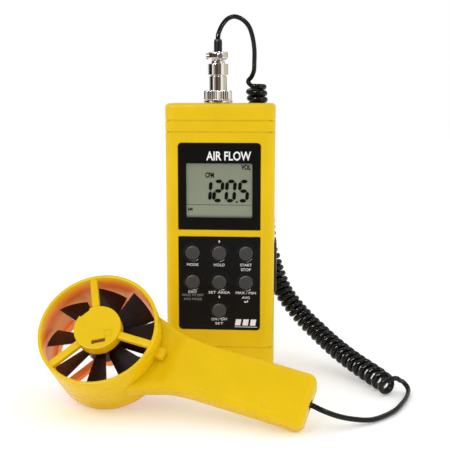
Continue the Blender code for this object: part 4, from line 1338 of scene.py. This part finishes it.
def handle_block(name, levels, clearance=0.05, sink=False):
    """A stack of handle outlines, closed by a grid over its first and its last face."""
    points, faces, index = [], [], {}
    last = len(levels) - 1
    for level, (n, inset) in enumerate(levels):
        share = min(1.0, max(0.0, (n - HANDLE_SPLIT) / (HANDLE_FRONT - HANDLE_SPLIT))) if sink else 0.0
        columns = handle_outline(inset, ring_radius_at(n) + clearance)
        far = len(columns) - 1
        for i, column in enumerate(columns):
            for j, (u, v) in enumerate(column):
                if level in (0, last) or i in (0, far) or j in (0, HANDLE_ROWS):
                    index[level, i, j] = len(points)
                    points.append((u, v, n - handle_sink(u) * share))
    loop = [(i, 0) for i in range(far)] + [(far, j) for j in range(HANDLE_ROWS)]
    loop += [(i, HANDLE_ROWS) for i in range(far, 0, -1)] + [(0, j) for j in range(HANDLE_ROWS, 0, -1)]
    for level in range(last):
        for here, there in zip(loop, loop[1:] + loop[:1]):
            faces.append((index[(level, *here)], index[(level, *there)],
                          index[(level + 1, *there)], index[(level + 1, *here)]))
    for level in (0, last):
        for i in range(far):
            for j in range(HANDLE_ROWS):
                faces.append((index[level, i, j], index[level, i + 1, j],
                              index[level, i + 1, j + 1], index[level, i, j + 1]))
    return solid(name, points, faces)


def edge_levels(face, radius, steps=7):
    """Levels of an edge rounded off between a face and the side below it."""
    away = 1.0 if face > HANDLE_SPLIT else -1.0
    levels = []
    for k in range(steps + 1):
        turn = math.radians(90.0 * k / steps)
        levels.append((face - away * radius * (1.0 - math.cos(turn)), radius * (1.0 - math.sin(turn))))
    return levels


def handle_shell(name, levels, meeting, hollow, sink=False):
    """One half of the handle with its inside cut away."""
    shell = handle_block(name, levels + [(meeting, 0.0)], sink=sink)
    return cut(shell, handle_block("c1", hollow, 2.6))


def handle_bores(low, high):
    """Cutters for the two handle screws' holes."""
    return [rod("c3", 1.3, low, high, spot, segments=16) for spot in HANDLE_SCREWS]


def end_bores():
    """Cutters where the cord enters the handle and where its wires pass to the ring."""
    return [rod("c2", 3.1, 120.0, 140.0, (0.0, HANDLE_SPLIT), "X", 40),
            rod("c4", 1.6, 30.0, 42.0, (0.0, HANDLE_SPLIT), "X", 24)]


def handle_bosses(low, high):
    return [rod("b1", 3.4, low, high, spot, segments=24) for spot in HANDLE_SCREWS]


def build_handle_front():
    front = handle_shell("handle_top_shell", edge_levels(HANDLE_FRONT, HANDLE_EDGE),
                         HANDLE_SPLIT + HANDLE_MEETING_GAP,
                         ((HANDLE_FRONT - 3.4, 4.5), (HANDLE_SPLIT - 2.0, 2.2)), True)
    fuse(front, *handle_bosses(HANDLE_SPLIT + GAP / 2, HANDLE_FRONT - 2.6))
    dimple = ((0, HANDLE_FRONT - 0.55), (1.1, HANDLE_FRONT - 0.5), (1.9, HANDLE_FRONT - 0.32),
              (2.6, HANDLE_FRONT + 0.1), (0, HANDLE_FRONT + 0.1))
    cut(front, *handle_bores(HANDLE_SPLIT - 1.0, HANDLE_FRONT - 3.5), *end_bores(),
        lathe("c5", dimple, HANDLE_MARK, segments=40))
    place_probe(front, "probe", "probe", "handle_front", sharp=40.0)


def build_handle_rear():
    rear = handle_shell("handle_back_shell", edge_levels(HANDLE_BACK, HANDLE_EDGE),
                        HANDLE_SPLIT - HANDLE_MEETING_GAP,
                        ((HANDLE_BACK + 2.0, 4.5), (HANDLE_SPLIT + 2.0, 2.2)))
    fuse(rear, *handle_bosses(HANDLE_BACK + 1.3, HANDLE_SPLIT - GAP / 2))
    cut(rear, *handle_bores(HANDLE_BACK - 1.0, HANDLE_SPLIT + 1.0),
        *[rod("c6", 2.6, HANDLE_BACK - 1.0, HANDLE_BACK + 2.6, spot, segments=32) for spot in HANDLE_SCREWS],
        *end_bores())
    place_probe(rear, "probe", "probe", "handle_rear", sharp=40.0)


def build_handle_screws():
    head = HANDLE_BACK + 2.3
    profile = eased(((0, head - 1.6), (2.0, head - 1.6), (2.2, head - 1.3), (2.2, head), (1.0, head),
                     (1.0, HANDLE_FRONT - 4.5), (0, HANDLE_FRONT - 4.0)), 0.12)
    half = ((-1.4, -0.3), (1.4, -0.3), (1.4, 0.3), (-1.4, 0.3))
    for index, spot in enumerate(HANDLE_SCREWS):
        item = lathe("grip_screw_%d" % (index + 1), profile, spot, segments=32)
        for turn in (0.0, 90.0):
            cut(item, prism("arm", turned(half, turn, spot), head - 3.0, head - 0.9))
        place_probe(item, "steel", "probe", "handle_screw_%d" % (index + 1))


def build_handle():
    build_handle_front()
    build_handle_rear()
    build_handle_screws()
    bush = ((0, 123.5), (2.7, 123.5), (2.7, HANDLE_END), (1.9, HANDLE_END), (1.9, 125.5), (0, 125.5))
    item = lathe("cord_bush", eased(bush, 0.3), (0.0, HANDLE_SPLIT), "X", 40)
    place_probe(item, "sleeve", "probe", "cord_grommet")


def paint_wall_shade_glow(item):
    """The ring's inside wall takes the painted orange shade and glow; the rest stays yellow."""
    item.data.materials.append(M["wall"])
    back = probe_matrix().inverted()
    for face in item.data.polygons:
        centre = back @ face.center / MM
        facing = back.to_3x3() @ face.normal
        # inward-facing faces of the ring's inner wall get the painted shade and glow
        if 31.0 < math.hypot(centre.x, centre.y) < 34.6 and centre.z < -1.5:
            if facing.x * centre.x + facing.y * centre.y < 0:
                face.material_index = 1


def build_housing():
    rim = eased(((RING_INNER_R, -RING_DEPTH), (RING_INNER_R, 0.0), (RING_R, 0.0), (RING_R, -8.0),
                 (RING_BACK_R, 0.6 - RING_DEPTH), (RING_BACK_R - 0.6, -RING_DEPTH)), 0.9, 5)
    housing = lathe("ring_body", rim, segments=144)
    cup = ((0, 0.8), (14.1, 0.8), (14.1, -6.6), (12.9, -6.6), (12.9, -1.2), (0, -1.2))
    hub = lathe("h1", eased(cup, 0.7, 4), segments=96)
    front_spokes = spokes("h2", 13.4, RING_INNER_R + 0.8, -4.2, -0.5)
    tab = plate("h3", 3.0, 3.2, 0.8, (38.0, 0.0), soft_edge(HANDLE_FRONT + 0.05, -8.6, 0.6), "Z", 4)
    boss = tube("h4", 3.4, 2.3, -5.4, -1.0, segments=32)
    fuse(housing, hub, *front_spokes, tab, boss)
    tools = []
    slots = ((7.8, 10.4, 4.1, HUB_SLOT_ANGLE, -4.0), (12.4, 16.0, 3.4, 150.0, -3.0))
    for low, high, half, turn, depth in slots:
        corners = ((low, -half), (high, -half), (high, half), (low, half))
        tools.append(prism("c1", turned(corners, turn), depth, 3.0))
    square = tube("c2", 3.1, 2.65, 0.6, 1.5, segments=4)
    square.data.transform(Matrix.Rotation(math.radians(HUB_SLOT_ANGLE + 135.0), 4, "Z"))
    square.data.transform(Matrix.Translation((7.8 * MM, -1.5 * MM, 0.0)))
    cut(housing, *tools, square)
    place_probe(housing, "probe", "probe", "vane_housing")
    paint_wall_shade_glow(housing)


def build_guard():
    guard = tube("guard_ring", 33.5, 32.2, REAR_BACK_N, REAR_FRONT_N, segments=128)
    hub = lathe("g1", eased(((0, REAR_BACK_N), (8.0, REAR_BACK_N), (8.0, REAR_FRONT_N + 2.6),
                             (0, REAR_FRONT_N + 2.6)), 0.7), segments=64)
    fuse(guard, hub, *spokes("g2", 6.0, 32.8, REAR_BACK_N + 0.8, REAR_FRONT_N - 0.4))
    cut(guard, rod("c1", 2.4, REAR_BACK_N + 3.0, -20.0, segments=40))
    place_probe(guard, "guard", "probe", "rear_guard")


def build_rotor():
    hub = eased(((1.3, -21.6), (12.0, -21.6), (12.0, -7.2), (1.3, -7.2)), 0.6)
    rotor = lathe("vane_wheel", hub, segments=72)
    fuse(rotor, *[blade(k) for k in range(BLADE_COUNT)])
    place_probe(rotor, "blade", "rotor", "impeller")


def blade(index):
    """One blade: wide and thin at its tip, narrow and thicker at the hub."""
    lean = math.cos(math.radians(BLADE_PITCH))
    stations = 10
    rings = []
    for i in range(stations + 1):
        t = i / stations
        radius = 10.8 + (BLADE_TIP_R - 10.8) * t
        half = BLADE_ROOT_HALF + (BLADE_TIP_HALF - BLADE_ROOT_HALF) * t
        thick = 0.42 - 0.12 * t
        section = [(-half, 0.0), (-half * 0.97, -thick * 0.6), (-half * 0.5, -thick), (0.0, -thick),
                   (half * 0.5, -thick), (half * 0.97, -thick * 0.6), (half, 0.0), (half * 0.97, thick * 0.6),
                   (half * 0.5, thick), (0.0, thick), (-half * 0.5, thick), (-half * 0.97, thick * 0.6)]
        rings.append([(math.sqrt(radius ** 2 - (a * lean) ** 2), a, b) for a, b in section])
    item = loft("blade", rings)
    item.data.transform(Matrix.Rotation(math.radians(BLADE_PITCH), 4, "X"))
    item.data.transform(Matrix.Translation((0.0, 0.0, BLADE_MID_N * MM)))
    item.data.transform(Matrix.Rotation(2.0 * math.pi * (index + BLADE_START) / BLADE_COUNT, 4, "Z"))
    return item


# ---------------------------------------------------------------- solids that stay as they are

def paint_solids():
    looks = {"lcd_holder": "holder", "key_mat": "mat", "main_board": "board", "processor_chip": "chip",
             "battery": "battery", "battery_snap": "strip", "socket_nut": "nickel", "socket_insert": "strip",
             "plug_insert": "brass", "front_bearing": "bronze", "rear_bearing": "bronze",
             "pickup_board": "red_board", "rotor_magnet": "magnet", "rotor_shaft": "steel",
             "stand_pin": "steel"}
    for name, look in looks.items():
        item = frame["nodes"][name]
        for slot in item.material_slots:
            slot.material = M[look]


build_camera()
build_cords()
build_studio()
build_front_case()
build_rear_case()
build_display()
build_keypad()
build_keys()
build_display_marks()
build_print()
build_battery_cover()
build_case_screws()
build_stand()
build_side()
build_socket()
build_plug_body()
build_coupling_ring()
build_clamp()
build_sleeve()
build_handle()
build_housing()
build_guard()
build_rotor()
paint_solids()
spare_handle()
